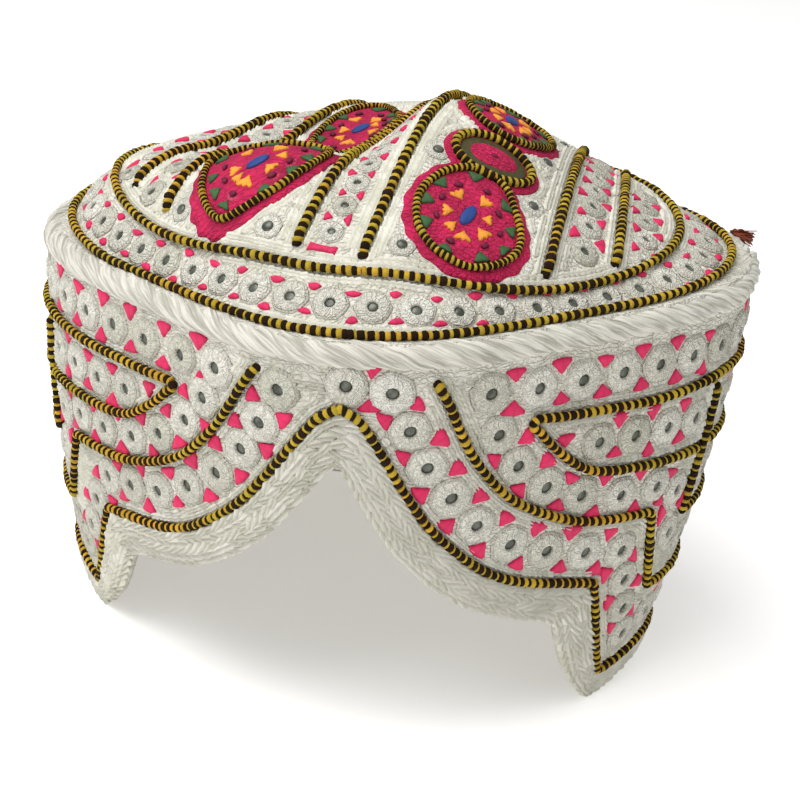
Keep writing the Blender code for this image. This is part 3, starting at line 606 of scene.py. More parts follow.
def line_mesh(name, trails):
    """Edges along trails, with the outward direction kept on each point."""
    spots, ups, edges = [], [], []
    base = 0
    for trail in trails:
        count = len(trail["spots"])
        spots.append(trail["spots"])
        ups.append(trail["ups"])
        edges += [(base + k, base + k + 1) for k in range(count - 1)]
        if trail["closed"]:
            edges.append((base + count - 1, base))
        base += count
    mesh = bpy.data.meshes.new(name)
    mesh.from_pydata(np.concatenate(spots).tolist(), edges, [])
    mesh.attributes.new("up", "FLOAT_VECTOR", "POINT").data.foreach_set("vector", np.concatenate(ups).ravel())
    return mesh


def spot_mesh(name, rows):
    """Loose points with outward direction, direction along, and size; rows are (spot, up, along, size)."""
    mesh = bpy.data.meshes.new(name)
    mesh.from_pydata([list(row[0]) for row in rows], [], [])
    for key, column in (("up", 1), ("along", 2), ("size", 3)):
        values = np.array([row[column] for row in rows], float).ravel()
        mesh.attributes.new(key, "FLOAT_VECTOR", "POINT").data.foreach_set("vector", values)
    return mesh


def solid(name, points, faces, uvs=None, thread=None, smooth=True):
    """Plain mesh object at the origin; uvs gives each point its place on the cloth."""
    mesh = bpy.data.meshes.new(name)
    mesh.from_pydata([tuple(p) for p in points], [], [tuple(f) for f in faces])
    if uvs is not None:
        layer = mesh.uv_layers.new(name="UVMap")
        corners = np.empty(len(mesh.loops), dtype=np.int32)
        mesh.loops.foreach_get("vertex_index", corners)
        layer.data.foreach_set("uv", np.asarray(uvs, dtype=np.float32)[corners].ravel())
    if smooth:
        mesh.shade_smooth()
    if thread is not None:
        mesh.materials.append(thread)
    thing = bpy.data.objects.new(name, mesh)
    bpy.context.scene.collection.objects.link(thing)
    return thing


def grow(name, mesh, tree, values):
    """Runs a tree with the user's seed on a mesh and leaves a plain object; the shapes given are removed."""
    values = {"Seed": bpy.context.scene.cap_sizes.seed, **values}
    maker = bpy.data.objects.new(name + "_lines", mesh)
    bpy.context.scene.collection.objects.link(maker)
    modifier = maker.modifiers.new(tree.name, "NODES")
    modifier.node_group = tree
    for item in tree.interface.items_tree:
        if item.item_type == "SOCKET" and item.in_out == "INPUT" and item.name in values:
            modifier[item.identifier] = values[item.name]
    graph = bpy.context.evaluated_depsgraph_get()
    grown = bpy.data.meshes.new_from_object(maker.evaluated_get(graph), preserve_all_data_layers=True,
        depsgraph=graph)
    maker.modifiers.remove(modifier)
    bpy.data.objects.remove(maker, do_unlink=True)
    for helper in [value for value in values.values() if isinstance(value, bpy.types.Object)]:
        bpy.data.objects.remove(helper, do_unlink=True)
    grown.name = name
    grown.materials.clear()
    grown.materials.append(values["Thread"])
    grown.polygons.foreach_set("material_index", [0] * len(grown.polygons))
    thing = bpy.data.objects.new(name, grown)
    bpy.context.scene.collection.objects.link(thing)
    return thing


def sewn(thing, slot, *nodes):
    """Makes a piece part of the cap, in place of the named solids."""
    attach(thing, "root")
    if nodes:
        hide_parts(*nodes)
    return thing


def ring_faces(rings, sides):
    """Faces between neighbouring rings of points, numbered ring by ring."""
    return [(ring * sides + k, ring * sides + (k + 1) % sides, (ring + 1) * sides + (k + 1) % sides,
        (ring + 1) * sides + k) for ring in range(rings - 1) for k in range(sides)]


def turn_shape():
    """One thread band: a short bulged drum along Z, radius and length 1, with length and bearing as UV."""
    sides = 8
    rings = ((-0.5, 0.70), (-0.27, 1.0), (0.27, 1.0), (0.5, 0.70))
    points, uvs = [], []
    for z, radius in rings:
        for k in range(sides):
            turn = 2 * math.pi * k / sides
            points.append((radius * math.cos(turn), radius * math.sin(turn), z))
            uvs.append((z, k / sides))
    faces = ring_faces(len(rings), sides)
    faces.append(tuple(range(sides))[::-1])
    faces.append(tuple(range((len(rings) - 1) * sides, len(rings) * sides)))
    return solid("thread_turn", points, faces, uvs)


def stitch_shape():
    """One chain stitch along X, length, width and height 1: two plump strands with a groove between them."""
    points = [(-0.5, 0.0, 0.1)]
    for x, half, high in ((-0.15, 0.44, 0.85), (0.25, 0.5, 1.0)):
        for y, z in ((-1.0, -0.3), (-0.6, 1.0), (0.0, 0.05), (0.6, 1.0), (1.0, -0.3)):
            points.append((x, y * half, z * high))
    points.append((0.52, 0.0, 0.1))
    faces = []
    for k in range(4):
        faces.append((0, 1 + k, 2 + k))
        faces.append((1 + k, 6 + k, 7 + k, 2 + k))
        faces.append((6 + k, 11, 7 + k))
    faces.append((0, 1, 6, 11, 10, 5))
    return solid("chain_stitch", points, faces, [(p[0], p[1]) for p in points])


def rosette_shape():
    """Padded ring of buttonhole stitch that holds a mirror, outer radius 1; UV is the place in its plane."""
    sides = 12
    rings = ((0.25, -0.05), (0.31, 0.20), (0.42, 0.22), (0.56, 0.12), (0.86, 0.13), (1.0, -0.05))
    points, uvs = [], []
    for number, (radius, high) in enumerate(rings):
        for k in range(sides):
            turn = 2 * math.pi * k / sides
            # the edge is pushed into a hexagon by its neighbours
            reach = radius * (1 + (0.035 * math.cos(6 * turn) if number > 3 else 0.0))
            points.append((reach * math.cos(turn), reach * math.sin(turn), high))
            uvs.append((radius * math.cos(turn), radius * math.sin(turn)))
    faces = []
    for ring in range(len(rings)):
        for k in range(sides):
            here, there = ring * sides, (ring + 1) % len(rings) * sides
            faces.append((here + k, there + k, there + (k + 1) % sides, here + (k + 1) % sides))
    return solid("rosette", points, faces, uvs)


def pad_shape(name, outline, heart, scale=MM):
    """Satin pad of the given outline, puffed in the middle; its UV is in metres, scale metres a unit."""
    rings = ((1.0, -0.3), (0.93, 0.6), (0.6, 0.95))
    points = []
    for share, high in rings:
        for x, y in outline:
            points.append((heart[0] + (x - heart[0]) * share, heart[1] + (y - heart[1]) * share, high))
    points.append((heart[0], heart[1], 1.0))
    size = len(outline)
    faces = ring_faces(len(rings), size)
    last = (len(rings) - 1) * size
    for k in range(size):
        faces.append((last + k, last + (k + 1) % size, len(points) - 1))
    faces.append(tuple(range(size))[::-1])
    return solid(name, points, faces, [(p[0] * scale, p[1] * scale) for p in points])


def wedge_shape():
    """Fill between two rosettes, its point towards the row's middle, in millimetres."""
    half = ((0.6, 3.0), (1.3, 4.0), (2.1, 4.9), (2.9, 5.8), (2.7, 6.5), (1.4, 6.8))
    outline = [(0.0, 2.5)] + list(half) + [(0.0, 6.9)] + [(-x, y) for x, y in half[::-1]]
    return pad_shape("wedge", outline, (0.0, 5.3))


def blob_shape():
    """Small rounded fill near a cord, in the same place as a wedge, in millimetres."""
    outline = ((0.0, 3.5), (1.1, 3.9), (2.1, 4.7), (2.7, 5.3), (1.9, 5.9), (0.5, 6.3), (-1.2, 6.1),
        (-2.4, 5.5), (-2.0, 4.6), (-1.1, 3.8))
    return pad_shape("blob", outline, (0.0, 5.0))


def oval_shape():
    sides = 12
    outline = [(math.cos(2 * math.pi * k / sides), math.sin(2 * math.pi * k / sides)) for k in range(sides)]
    return pad_shape("oval", outline, (0.0, 0.0))


def leaf_shape():
    """Small rounded triangle, about 1 across and 1 along, with its point towards -Y."""
    outline = ((0.0, -0.55), (0.22, -0.3), (0.4, 0.0), (0.6, 0.36), (0.3, 0.46), (0.0, 0.4), (-0.28, 0.48),
        (-0.6, 0.34), (-0.38, -0.02), (-0.2, -0.32))
    return pad_shape("leaf", outline, (0.0, 0.08), 0.003)


def petal_shape():
    """Plump three-pointed petal of the star round a medallion's heart, about 1 across, pointing to -Y."""
    outline = ((0.0, -0.48), (0.2, -0.2), (0.46, 0.0), (0.6, 0.28), (0.42, 0.4), (0.16, 0.26), (0.0, 0.42),
        (-0.22, 0.28), (-0.5, 0.42), (-0.58, 0.22), (-0.4, 0.0), (-0.18, -0.2))
    return pad_shape("petal", outline, (0.0, 0.06), 0.004)


def bar_shape():
    """Short ribbon with flared ends, half length and half width 1."""
    outline = ((-1.0, -0.9), (-0.5, -0.65), (0.4, -0.7), (0.95, -1.0), (1.0, 0.8), (0.45, 0.6), (-0.5, 0.7),
        (-0.9, 1.0))
    return pad_shape("bar", outline, (0.0, 0.0), 0.004)


def shader_of(made):
    return made.node_tree.nodes["Principled BSDF"]


def thread_material(name, base, rough=0.85):
    """Node material with the look that every thread shares; gives it back with its tree."""
    made = bpy.data.materials.new(name)
    made.use_nodes = True
    shader = shader_of(made)
    shader.inputs["Base Color"].default_value = base
    shader.inputs["Roughness"].default_value = rough
    shader.inputs["Specular IOR Level"].default_value = 0.3
    made.diffuse_color = base
    return made, made.node_tree


def coat(made, colour, strength, depth, relief):
    """Gives a material its colour and its relief, depth in metres."""
    tree = made.node_tree
    shader = shader_of(made)
    tree.links.new(colour, shader.inputs["Base Color"])
    bump = add(tree, "Bump", Strength=strength, Distance=depth, Height=relief)
    tree.links.new(bump, shader.inputs["Normal"])
    return made


def material_named(name, maker, *dyes):
    return bpy.data.materials.get(name) or maker(name, *dyes)


def dyed(key):
    """Colour that the user has chosen."""
    return tuple(getattr(bpy.context.scene.cap_colours, key))


def deeper(colour, share):
    """The colour with only a share of its light."""
    return tuple(c * share for c in colour[:3]) + (1.0,)


def paler(colour, share):
    """The colour with a share of white in it."""
    return tuple(c + (1 - c) * share for c in colour[:3]) + (1.0,)


def cotton_stitch(name, light, shade):
    """Undyed mercerised cotton, slightly yellowed: no two stitches are equally light."""
    made, tree = thread_material(name, light, 0.86)
    place = add(tree, "TexCoord", take="Object")
    chance = add(tree, "Attribute", take="Fac", attribute_name="shade")
    # soiling in patches of about 9 mm
    soil = add(tree, "TexNoise", Vector=place, Scale=110.0, Detail=3.0)
    patch = add(tree, "MapRange", soil, 0.4, 0.75)
    clean = add(tree, "Mix", chance, shade, light, data_type="RGBA")
    worn = add(tree, "Mix", patch, clean, shade, data_type="RGBA")
    # the groove between the two strands lies in the stitch's own middle; the colour is darkened along it as
    # painted shade
    across = add(tree, "TexCoord", take="UV")
    across = add(tree, "SeparateXYZ", across, take="Y")
    across = add(tree, "Math", across, operation="ABSOLUTE")
    groove = add(tree, "MapRange", across, 0.04, 0.2, 0.5, 0.0)
    colour = add(tree, "Mix", groove, worn, deeper(shade, 0.6), data_type="RGBA")
    # fibres of 0.3 mm, as fine as the render can show
    fibre = add(tree, "TexNoise", Vector=place, Scale=3000.0, Detail=2.0)
    return coat(made, colour, 0.5, 0.0003, fibre)


def buttonhole_cotton(name, light, shade):
    """Cotton worked over a mirror: 15 plump stitches run outwards from the inner ring to a chained edge."""
    made, tree = thread_material(name, light, 0.86)
    place = add(tree, "TexCoord", take="Object")
    plane = add(tree, "TexCoord", take="UV")
    chance = add(tree, "Attribute", take="Fac", attribute_name="shade")
    across = add(tree, "SeparateXYZ", plane, take="X")
    along = add(tree, "SeparateXYZ", plane, take="Y")
    bearing = add(tree, "Math", along, across, operation="ARCTAN2")
    radius = add(tree, "VectorMath", plane, take="Value", operation="LENGTH")
    # lumps of 2 mm push the stitches aside
    lump = add(tree, "TexNoise", Vector=place, Scale=620.0, Detail=3.0)
    turns = add(tree, "Math", bearing, 15.0, operation="MULTIPLY")
    turns = add(tree, "Math", lump, 26.0, turns, operation="MULTIPLY_ADD")
    plump = add(tree, "Math", turns, operation="SINE")
    edge = add(tree, "Math", radius, 0.85, operation="SUBTRACT")
    edge = add(tree, "Math", edge, operation="ABSOLUTE")
    edge = add(tree, "MapRange", edge, 0.0, 0.06, 1.0, 0.0)
    # painted shade: the colour is darkened in the hollows between the stitches where the lumps dip, and along
    # the groove inside the chained edge
    hollow = add(tree, "MapRange", plump, -1.0, -0.1, 1.0, 0.0)
    pit = add(tree, "MapRange", lump, 0.36, 0.5, 1.0, 0.0)
    low = add(tree, "Math", hollow, pit, operation="MULTIPLY")
    low = add(tree, "Math", low, 0.36, operation="MULTIPLY")
    low = add(tree, "Math", edge, 0.3, low, operation="MULTIPLY_ADD")
    clean = add(tree, "Mix", chance, shade, light, data_type="RGBA")
    colour = add(tree, "Mix", low, clean, deeper(shade, 0.5), data_type="RGBA")
    height = add(tree, "Math", lump, 5.0, plump, operation="MULTIPLY_ADD")
    height = add(tree, "Math", edge, -1.2, height, operation="MULTIPLY_ADD")
    return coat(made, colour, 0.8, 0.0004, height)


def stitched_ground(name, light, shade):
    """Cotton ground filled with close chain stitch: small puffed cells about 2.2 mm long and 1.2 mm wide."""
    made, tree = thread_material(name, light, 0.9)
    place = add(tree, "TexCoord", take="Object")
    cloth = add(tree, "TexCoord", take="UV")
    soil = add(tree, "TexNoise", Vector=place, Scale=160.0, Detail=5.0)
    patch = add(tree, "MapRange", soil, 0.38, 0.66)
    wander = add(tree, "TexNoise", Vector=cloth, Scale=150.0, Detail=2.0, take="Color")
    stretched = add(tree, "Mapping", Vector=cloth, Scale=(450.0, 830.0, 1.0))
    shaken = add(tree, "VectorMath", wander, (3.4, 3.4, 0.0), stretched, operation="MULTIPLY_ADD")
    border = add(tree, "TexVoronoi", Vector=shaken, Scale=1.0, feature="DISTANCE_TO_EDGE",
        voronoi_dimensions="2D")
    fibre = add(tree, "TexNoise", Vector=place, Scale=1500.0, Detail=3.0)
    puff = add(tree, "MapRange", border, 0.0, 0.25)
    height = add(tree, "Math", fibre, 2.2, puff, operation="MULTIPLY_ADD")
    # painted shade: the colour is darkened in the gaps between the stitch cells
    gap = add(tree, "MapRange", border, 0.0, 0.1, 0.4, 0.0)
    ground = add(tree, "Mix", patch, light, shade, data_type="RGBA")
    colour = add(tree, "Mix", gap, ground, deeper(shade, 0.5), data_type="RGBA")
    return coat(made, colour, 0.9, 0.0005, height)


def lining_cotton(name):
    """Plain woven cotton lining, matt, with its threads 0.8 mm apart, drawn coarser than the real 0.4 mm."""
    made, tree = thread_material(name, linear("#DDD8CA"), 0.92)
    place = add(tree, "TexCoord", take="Object")
    cloth = add(tree, "TexCoord", take="UV")
    warp, weft = (add(tree, "TexWave", cloth, 62.0, 1.5, 2.0, 4.0, take="Fac", bands_direction=way)
        for way in ("X", "Y"))
    weave = add(tree, "Math", warp, weft, operation="ADD")
    wear = add(tree, "TexNoise", Vector=place, Scale=40.0, Detail=5.0)
    colour = add(tree, "Mix", wear, linear("#D6CFBE"), linear("#E6E2D6"), data_type="RGBA")
    return coat(made, colour, 0.4, 0.0002, weave)


def whipped_thread(name, dark, straw, orange):
    """Floss wound round a cord: brown-black and straw to orange bands, threads about 0.3 mm wide."""
    made, tree = thread_material(name, dark, 0.85)
    shader_of(made).inputs["Specular IOR Level"].default_value = 0.12
    yellow = add(tree, "Attribute", take="Fac", attribute_name="yellow")
    chance = add(tree, "Attribute", take="Fac", attribute_name="shade")
    place = add(tree, "TexCoord", take="Object")
    wander = add(tree, "TexNoise", Vector=place, Scale=26.0, Detail=2.0)
    leaning = add(tree, "MapRange", wander, 0.45, 0.65, 0.0, 0.45)
    dye = add(tree, "Mix", leaning, straw, orange, data_type="RGBA")
    faded = add(tree, "Math", chance, 0.5, operation="MULTIPLY")
    dye = add(tree, "Mix", faded, dye, deeper(straw, 0.45), data_type="RGBA")
    brown = add(tree, "Mix", chance, deeper(dark, 0.55), dark, data_type="RGBA")
    colour = add(tree, "Mix", yellow, brown, dye, data_type="RGBA")
    length = add(tree, "TexCoord", take="UV")
    length = add(tree, "SeparateXYZ", length, take="X")
    turns = add(tree, "Math", length, 5 * 2 * math.pi, operation="MULTIPLY")
    wave = add(tree, "Math", turns, operation="SINE")
    fuzz = add(tree, "TexNoise", Vector=place, Scale=1800.0, Detail=2.0)
    wave = add(tree, "Math", fuzz, 4.0, wave, operation="MULTIPLY_ADD")
    return coat(made, colour, 0.6, 0.00015, wave)


def satin_floss(name, dye):
    """Dyed floss in satin stitch: parallel threads that catch the light in streaks, drawn 0.7 mm wide."""
    made, tree = thread_material(name, dye, 0.6)
    cloth = add(tree, "TexCoord", take="UV")
    place = add(tree, "TexCoord", take="Object")
    chance = add(tree, "Attribute", take="Fac", attribute_name="shade")
    lengthwise = add(tree, "Mapping", Vector=cloth, Scale=(900.0, 300.0, 1.0))
    streak = add(tree, "TexNoise", Vector=lengthwise, Scale=1.0, Detail=2.0)
    # painted sheen: darker streaks along the threads stand in for the light that the satin catches; chance
    # adds a random tone for each fill
    deep = add(tree, "MapRange", streak, 0.45, 0.7, 0.0, 0.5)
    blend = add(tree, "Math", chance, 0.35, deep, operation="MULTIPLY_ADD")
    colour = add(tree, "Mix", blend, dye, deeper(dye, 0.5), data_type="RGBA")
    fibre = add(tree, "TexNoise", Vector=place, Scale=2400.0, Detail=2.0)
    height = add(tree, "Math", streak, 2.0, fibre, operation="MULTIPLY_ADD")
    return coat(made, colour, 0.6, 0.0002, height)


def floss(key):
    """Satin floss of one of the user's colours."""
    return material_named(key + "_satin_floss", satin_floss, dyed(key))


def cotton(name, maker):
    """One of the undyed cotton finishes."""
    return material_named(name, maker, dyed("cotton"), dyed("cotton_shade"))


def cloth_materials():
    """Outer and inner material of the cap's cloth."""
    ground = cotton("chain_stitched_cotton_ground", stitched_ground)
    return ground, material_named("plain_cotton_lining", lining_cotton)


def mirror_chip(name, glass):
    """Small chip of silvered glass, dulled by age; its dark grey colour and its darker blotches are a painted
    reflection of a grey room.
    """
    made, tree = thread_material(name, glass, 0.3)
    shader_of(made).inputs["Metallic"].default_value = 0.35
    place = add(tree, "TexCoord", take="Object")
    painted_reflection_blotch = add(tree, "TexNoise", Vector=place, Scale=500.0, Detail=3.0)
    # painted reflection: blotches darken the glass colour
    patch = add(tree, "MapRange", painted_reflection_blotch, 0.35, 0.65)
    colour = add(tree, "Mix", patch, deeper(glass, 0.4), glass, data_type="RGBA")
    return coat(made, colour, 0.3, 0.0002, painted_reflection_blotch)


def laid_cotton_rope(name, light, shade):
    """Thick soft cotton rope: loose yarns about 0.7 mm wide run along its strands."""
    made, tree = thread_material(name, light, 0.9)
    strand = add(tree, "Attribute", take="Vector", attribute_name="strand")
    circle = add(tree, "Attribute", take="Vector", attribute_name="circle")
    # a yarn keeps its place in the turning section for about 9 mm
    circle = add(tree, "VectorMath", circle, 0.0078, operation="SCALE")
    along = add(tree, "SeparateXYZ", circle, take="X")
    fourth = add(tree, "SeparateXYZ", circle, take="Y")
    run = add(tree, "CombineXYZ", Z=along)
    lengthwise = add(tree, "VectorMath", strand, run, operation="ADD")
    yarn = add(tree, "TexNoise", Vector=lengthwise, W=fourth, Scale=1200.0, Detail=3.0, noise_dimensions="4D")
    # painted shade: the colour is darkened in the gaps between the yarns
    low = add(tree, "MapRange", yarn, 0.36, 0.58, 1.0, 0.0)
    colour = add(tree, "Mix", low, deeper(light, 0.8), deeper(shade, 0.6), data_type="RGBA")
    return coat(made, colour, 1.0, 0.0006, yarn)


def light_table(name):
    """Matt opal acrylic table top, lit evenly from below, as product photographs on white are taken on."""
    made, tree = thread_material(name, linear("#F7F7F5"), 0.95)
    shader = shader_of(made)
    shader.inputs["Emission Color"].default_value = linear("#FFFFFF")
    shader.inputs["Emission Strength"].default_value = bpy.context.scene.cap_stage.table_glow
    place = add(tree, "TexCoord", take="Object")
    grain = add(tree, "TexNoise", Vector=place, Scale=9.0, Detail=2.0)
    colour = add(tree, "Mix", grain, linear("#FEFEFD"), linear("#FAFAF9"), data_type="RGBA")
    tree.links.new(colour, shader.inputs["Base Color"])
    return made


def length_property(name, description, default, least, most):
    """Length that a user may change, in metres."""
    return bpy.props.FloatProperty(name=name, description=description, default=default, min=least, max=most,
        unit="LENGTH", precision=5)


def colour_property(name, description, code):
    """Colour that a user may change."""
    return bpy.props.FloatVectorProperty(name=name, description=description, default=linear(code), size=4,
        subtype="COLOR", min=0.0, max=1.0)


class CapSizes(bpy.types.PropertyGroup):
    """Sizes of the embroidery that a user may change."""

    turn_spacing: length_property("Band spacing", "Middle to middle of neighbouring bands of a whipped cord",
        0.00125, 0.0005, 0.005)
    cord_radius: length_property("Cord radius", "Half the thickness of a whipped cord", 0.0013, 0.0005, 0.003)
    dark_share: bpy.props.FloatProperty(name="Dark share",
        description="Share of a whipped cord that its dark bands cover", default=0.6, min=0.2, max=0.8,
        subtype="FACTOR")
    stitch_pitch: length_property("Stitch pitch", "Length of cloth that one chain stitch covers", 0.0017,
        0.001, 0.005)
    rope_radius: length_property("Rope radius", "Half the thickness of the rim rope", 0.0038, 0.002, 0.006)
    rope_lay: length_property("Rope lay", "Length in which the rope's strands go once round", 0.038, 0.01,
        0.1)
    seed: bpy.props.IntProperty(name="Seed",
        description="Start of the small uneven sizes and turns of the hand stitches", default=5, min=0)


class CapColours(bpy.types.PropertyGroup):
    """Colours of the threads and of the mirrors that a user may change."""

    cotton: colour_property("Cotton", "Clean undyed cotton", "#EFECE0")
    # worn cotton is also the base of the painted shade in the grooves, gaps and hollows of the stitches,
    # rosettes, ground and rope
    cotton_shade: colour_property("Worn cotton", "Undyed cotton where it is worn and soiled", "#D2D0BF")
    dark_band: colour_property("Dark bands", "Brown-black thread of the whipped cords", "#2B1B0E")
    straw_band: colour_property("Straw bands", "Yellow thread of the whipped cords", "#D2B43C")
    pink: colour_property("Pink", "Floss of the fills and medallions", "#DE285F")
    orange: colour_property("Orange", "Floss of the medallions' petals", "#F7A336")
    green: colour_property("Green", "Floss of the medallions' leaves", "#3B6338")
    blue: colour_property("Blue", "Floss of the medallions' hearts", "#26478C")
    wine: colour_property("Wine", "Floss of the small dark spots", "#6E1334")
    olive: colour_property("Olive", "Floss of the discs' dark rings", "#4A4426")
    tuft: colour_property("Tuft", "Thread of the small tassel", "#7E3820")
    # the mirrors' dark grey is a painted reflection of a grey room
    mirror: colour_property("Mirrors", "Dulled glass of the mirrors", "#6B6E64")


class CapStage(bpy.types.PropertyGroup):
    """Light of the stage."""

    key_power: bpy.props.FloatProperty(name="Key light",
        description="Power of the large soft light high above the front", default=16.0, min=0.0, unit="POWER")
    fill_power: bpy.props.FloatProperty(name="Fill light",
        description="Power of the soft light low at the front", default=1.0, min=0.0, unit="POWER")
    air: bpy.props.FloatProperty(name="Room light", description="Strength of the even white light all round",
        default=0.46, min=0.0)
    table_glow: bpy.props.FloatProperty(name="Table glow",
        description="Strength of the light from below the floor", default=0.32, min=0.0)


def grid_faces(columns, rows):
    """Faces between columns of points that close round, numbered column by column."""
    faces = []
    for k in range(columns):
        nextk = (k + 1) % columns
        for j in range(rows - 1):
            faces.append((k * rows + j, nextk * rows + j, nextk * rows + j + 1, k * rows + j + 1))
    return faces


def loft_round(name, sections, uvs, materials, inner_from):
    """Closed skin of sections that follow each other round the cap; columns from inner_from on are lining."""
    columns, rows = sections.shape[:2]
    faces, slots = [], []
    for k in range(columns):
        nextk = (k + 1) % columns
        for j in range(rows):
            nextj = (j + 1) % rows
            faces.append((k * rows + j, nextk * rows + j, nextk * rows + nextj, k * rows + nextj))
            slots.append(1 if j >= inner_from else 0)
    thing = solid(name, sections.reshape(-1, 3), faces, uvs.reshape(-1, 2))
    for item in materials:
        thing.data.materials.append(item)
    thing.data.polygons.foreach_set("material_index", slots)
    return thing


class CAP_OT_side_band(bpy.types.Operator):
    """Makes the side band: stitched outer face, plain lining inside"""

    bl_idname = "cap.side_band"
    bl_label = "Side band"

    def execute(self, context):
        cord, edge = edge_rows(2.0)
        foot = cord + unit(edge - cord) * 1.4
        rows = 30
        share = np.linspace(0.0, 1.0, rows)[None, :]
        v = foot[:, 1:2] + (BAND_TOP - foot[:, 1:2]) * share
        u = foot[:, 0:1] + (cord[:, 0:1] - foot[:, 0:1]) * share
        outer, normal = on_band(u * MM, v * MM)
        inner = outer - normal * BAND_THICKNESS
        sections = np.concatenate([outer, inner[:, ::-1]], axis=1)
        uvs = np.concatenate([np.stack([u, v], -1), np.stack([u, v], -1)[:, ::-1]], axis=1) * MM
        band = loft_round("side_band_cloth", sections, uvs, cloth_materials(), rows - 1)
        sewn(band, "cotton_cloth", "side_band")
        return {"FINISHED"}


class CAP_OT_hem(bpy.types.Operator):
    """Makes the padded hem and the rows of thick chain stitch that cover it"""

    bl_idname = "cap.hem"
    bl_label = "Hem"

    def execute(self, context):
        cord, edge = edge_rows(2.0)
        start = cord + unit(edge - cord) * 1.5
        section = ((0.0, -0.3), (0.0, 0.4), (0.15, 1.0), (0.5, 1.3), (0.8, 1.1), (0.95, 0.5), (1.0, -0.5),
            (1.0, -2.2), (0.9, -2.9), (0.5, -3.3), (0.0, -2.4))
        share = np.array([s[0] for s in section])[None, :]
        out = np.array([s[1] for s in section])[None, :] * np.ones((len(start), 1))
        spot = start[:, None, :] + (edge - start)[:, None, :] * share[..., None]
        points, _ = on_band(spot[..., 0] * MM, spot[..., 1] * MM, out * MM)
        hem = loft_round("hem_padding", points, spot * MM, cloth_materials(), 8)
        sewn(hem, "cotton_cloth", "hem_edging")
        # rows lean to the left and to the right by turns, as in a plait
        for name, lean, rows in (("hem_chain_stitch_right", 0.26, ((0.11, 0.9), (0.53, 1.3))),
                                 ("hem_chain_stitch_left", -0.26, ((0.32, 1.3), (0.74, 1.1), (0.91, 0.5)))):
            trails = []
            for part, lift in rows:
                route = start + (edge - start) * part
                trails.append(band_trail(route, lift, True))
            stitch = stitch_shape()
            made = grow(name, line_mesh("hem_rows", trails), tree_named("chain_stitch_rows", stitch_tree),
                {"Stitch": stitch, "Pitch": 0.0034, "Length": 0.0062, "Width": 0.0027, "Height": 0.0012,
                "Lean": lean, "Stray": 0.34, "Thread": cotton("mercerised_cotton_stitch", cotton_stitch)})
            # the floor presses the stitches flat where the cap stands on them
            for point in made.data.vertices:
                point.co.z = max(point.co.z, 0.0)
            sewn(made, "cotton_cloth")
        return {"FINISHED"}


class CAP_OT_rope(bpy.types.Operator):
    """Lays the white rope over the seam between band and crown"""

    bl_idname = "cap.rope"
    bl_label = "Rim rope"

    def execute(self, context):
        sizes = context.scene.cap_sizes
        u = np.arange(0.0, 2 * HALF_ROUND, 0.003)
        spots, ups = on_band(u, np.full_like(u, ROPE_MIDDLE), -0.0017)
        path = line_mesh("rope_path", [{"spots": spots, "ups": ups, "closed": True}])
        strands, corners = 6, 90
        turn = 2 * math.pi * np.arange(corners) / corners
        lobe = 0.17 * (1 - np.abs(np.cos(strands * turn / 2)) ** 0.8)
        yarn = 0.018 * np.cos(3 * strands * turn)
        reach = sizes.rope_radius * (1 - lobe + yarn)
        outline = np.stack([reach * np.cos(turn), reach * np.sin(turn), 0 * turn], axis=-1)
        ring = bpy.data.meshes.new("rope_section")
        ring.from_pydata(outline.tolist(), [(k, (k + 1) % corners) for k in range(corners)], [])
        section = bpy.data.objects.new("rope_section", ring)
        context.scene.collection.objects.link(section)
        rope = grow("rim_rope_laid", path, tree_named("laid_rope", rope_tree),
            {"Section": section, "Step": 0.0016, "Turns": round(2 * HALF_ROUND / sizes.rope_lay),
            "Dents": 0.0022, "Thread": cotton("laid_cotton_rope", laid_cotton_rope)})
        # inside the cap the rope is pressed flat against the cloth that it is sewn to
        place = np.array([point.co for point in rope.data.vertices])
        centre = np.array([0.0, CENTRE_Y])
        angle = np.arctan2(place[:, 0], CENTRE_Y - place[:, 1])
        height = place[:, 2] - RIM_TILT * place[:, 0]
        reach = np.linalg.norm(place[:, :2] - centre, axis=1)
        behind_face, below_rim = 0.0020, 0.0012
        least = np.linalg.norm(wall_surface(angle, height)[:, :2] - centre, axis=1) - behind_face
        pressed = (reach < least) & (height < RIM_HEIGHT - below_rim)
        place[pressed, :2] = centre + (place[pressed, :2] - centre) * (least / reach)[pressed, None]
        rope.data.vertices.foreach_set("co", place.ravel())
        sewn(rope, "rope_thread", "rim_rope")
        return {"FINISHED"}


class CAP_OT_crown(bpy.types.Operator):
    """Makes the crown: stitched upper face, plain lining below"""

    bl_idname = "cap.crown"
    bl_label = "Crown"

    def execute(self, context):
        sides, rings = 150, 52
        angle = 2 * math.pi * np.arange(sides) / sides
        share = np.linspace(0.992, 0.02, rings)
        radius = rim_radius(angle)[:, None] * share[None, :]
        x, y = radius * np.sin(angle)[:, None], CENTRE_Y - radius * np.cos(angle)[:, None]
        upper, _ = on_crown(x, y)
        under = upper - np.array([0.0, 0.0, CROWN_THICKNESS])
        points = np.concatenate([upper.reshape(-1, 3), under.reshape(-1, 3)])
        layer = sides * rings
        top, _ = on_crown(0.0, CENTRE_Y)
        points = np.concatenate([points, [top, top - [0.0, 0.0, CROWN_THICKNESS]]])
        upper_faces = grid_faces(sides, rings)
        faces = upper_faces + [tuple(i + layer for i in f[::-1]) for f in upper_faces]
        for k in range(sides):
            nextk = (k + 1) % sides
            faces.append((k * rings, layer + k * rings, layer + nextk * rings, nextk * rings))
            last, lastnext = k * rings + rings - 1, nextk * rings + rings - 1
            faces.append((last, lastnext, 2 * layer))
            faces.append((layer + lastnext, layer + last, 2 * layer + 1))
        crown = solid("crown_cloth", points, faces, points[:, :2])
        for item in cloth_materials():
            crown.data.materials.append(item)
        lined = [1 if min(f.vertices) >= layer and f.vertices[-1] != 2 * layer else 0
            for f in crown.data.polygons]
        crown.data.polygons.foreach_set("material_index", lined)
        sewn(crown, "cotton_cloth", "crown")
        return {"FINISHED"}


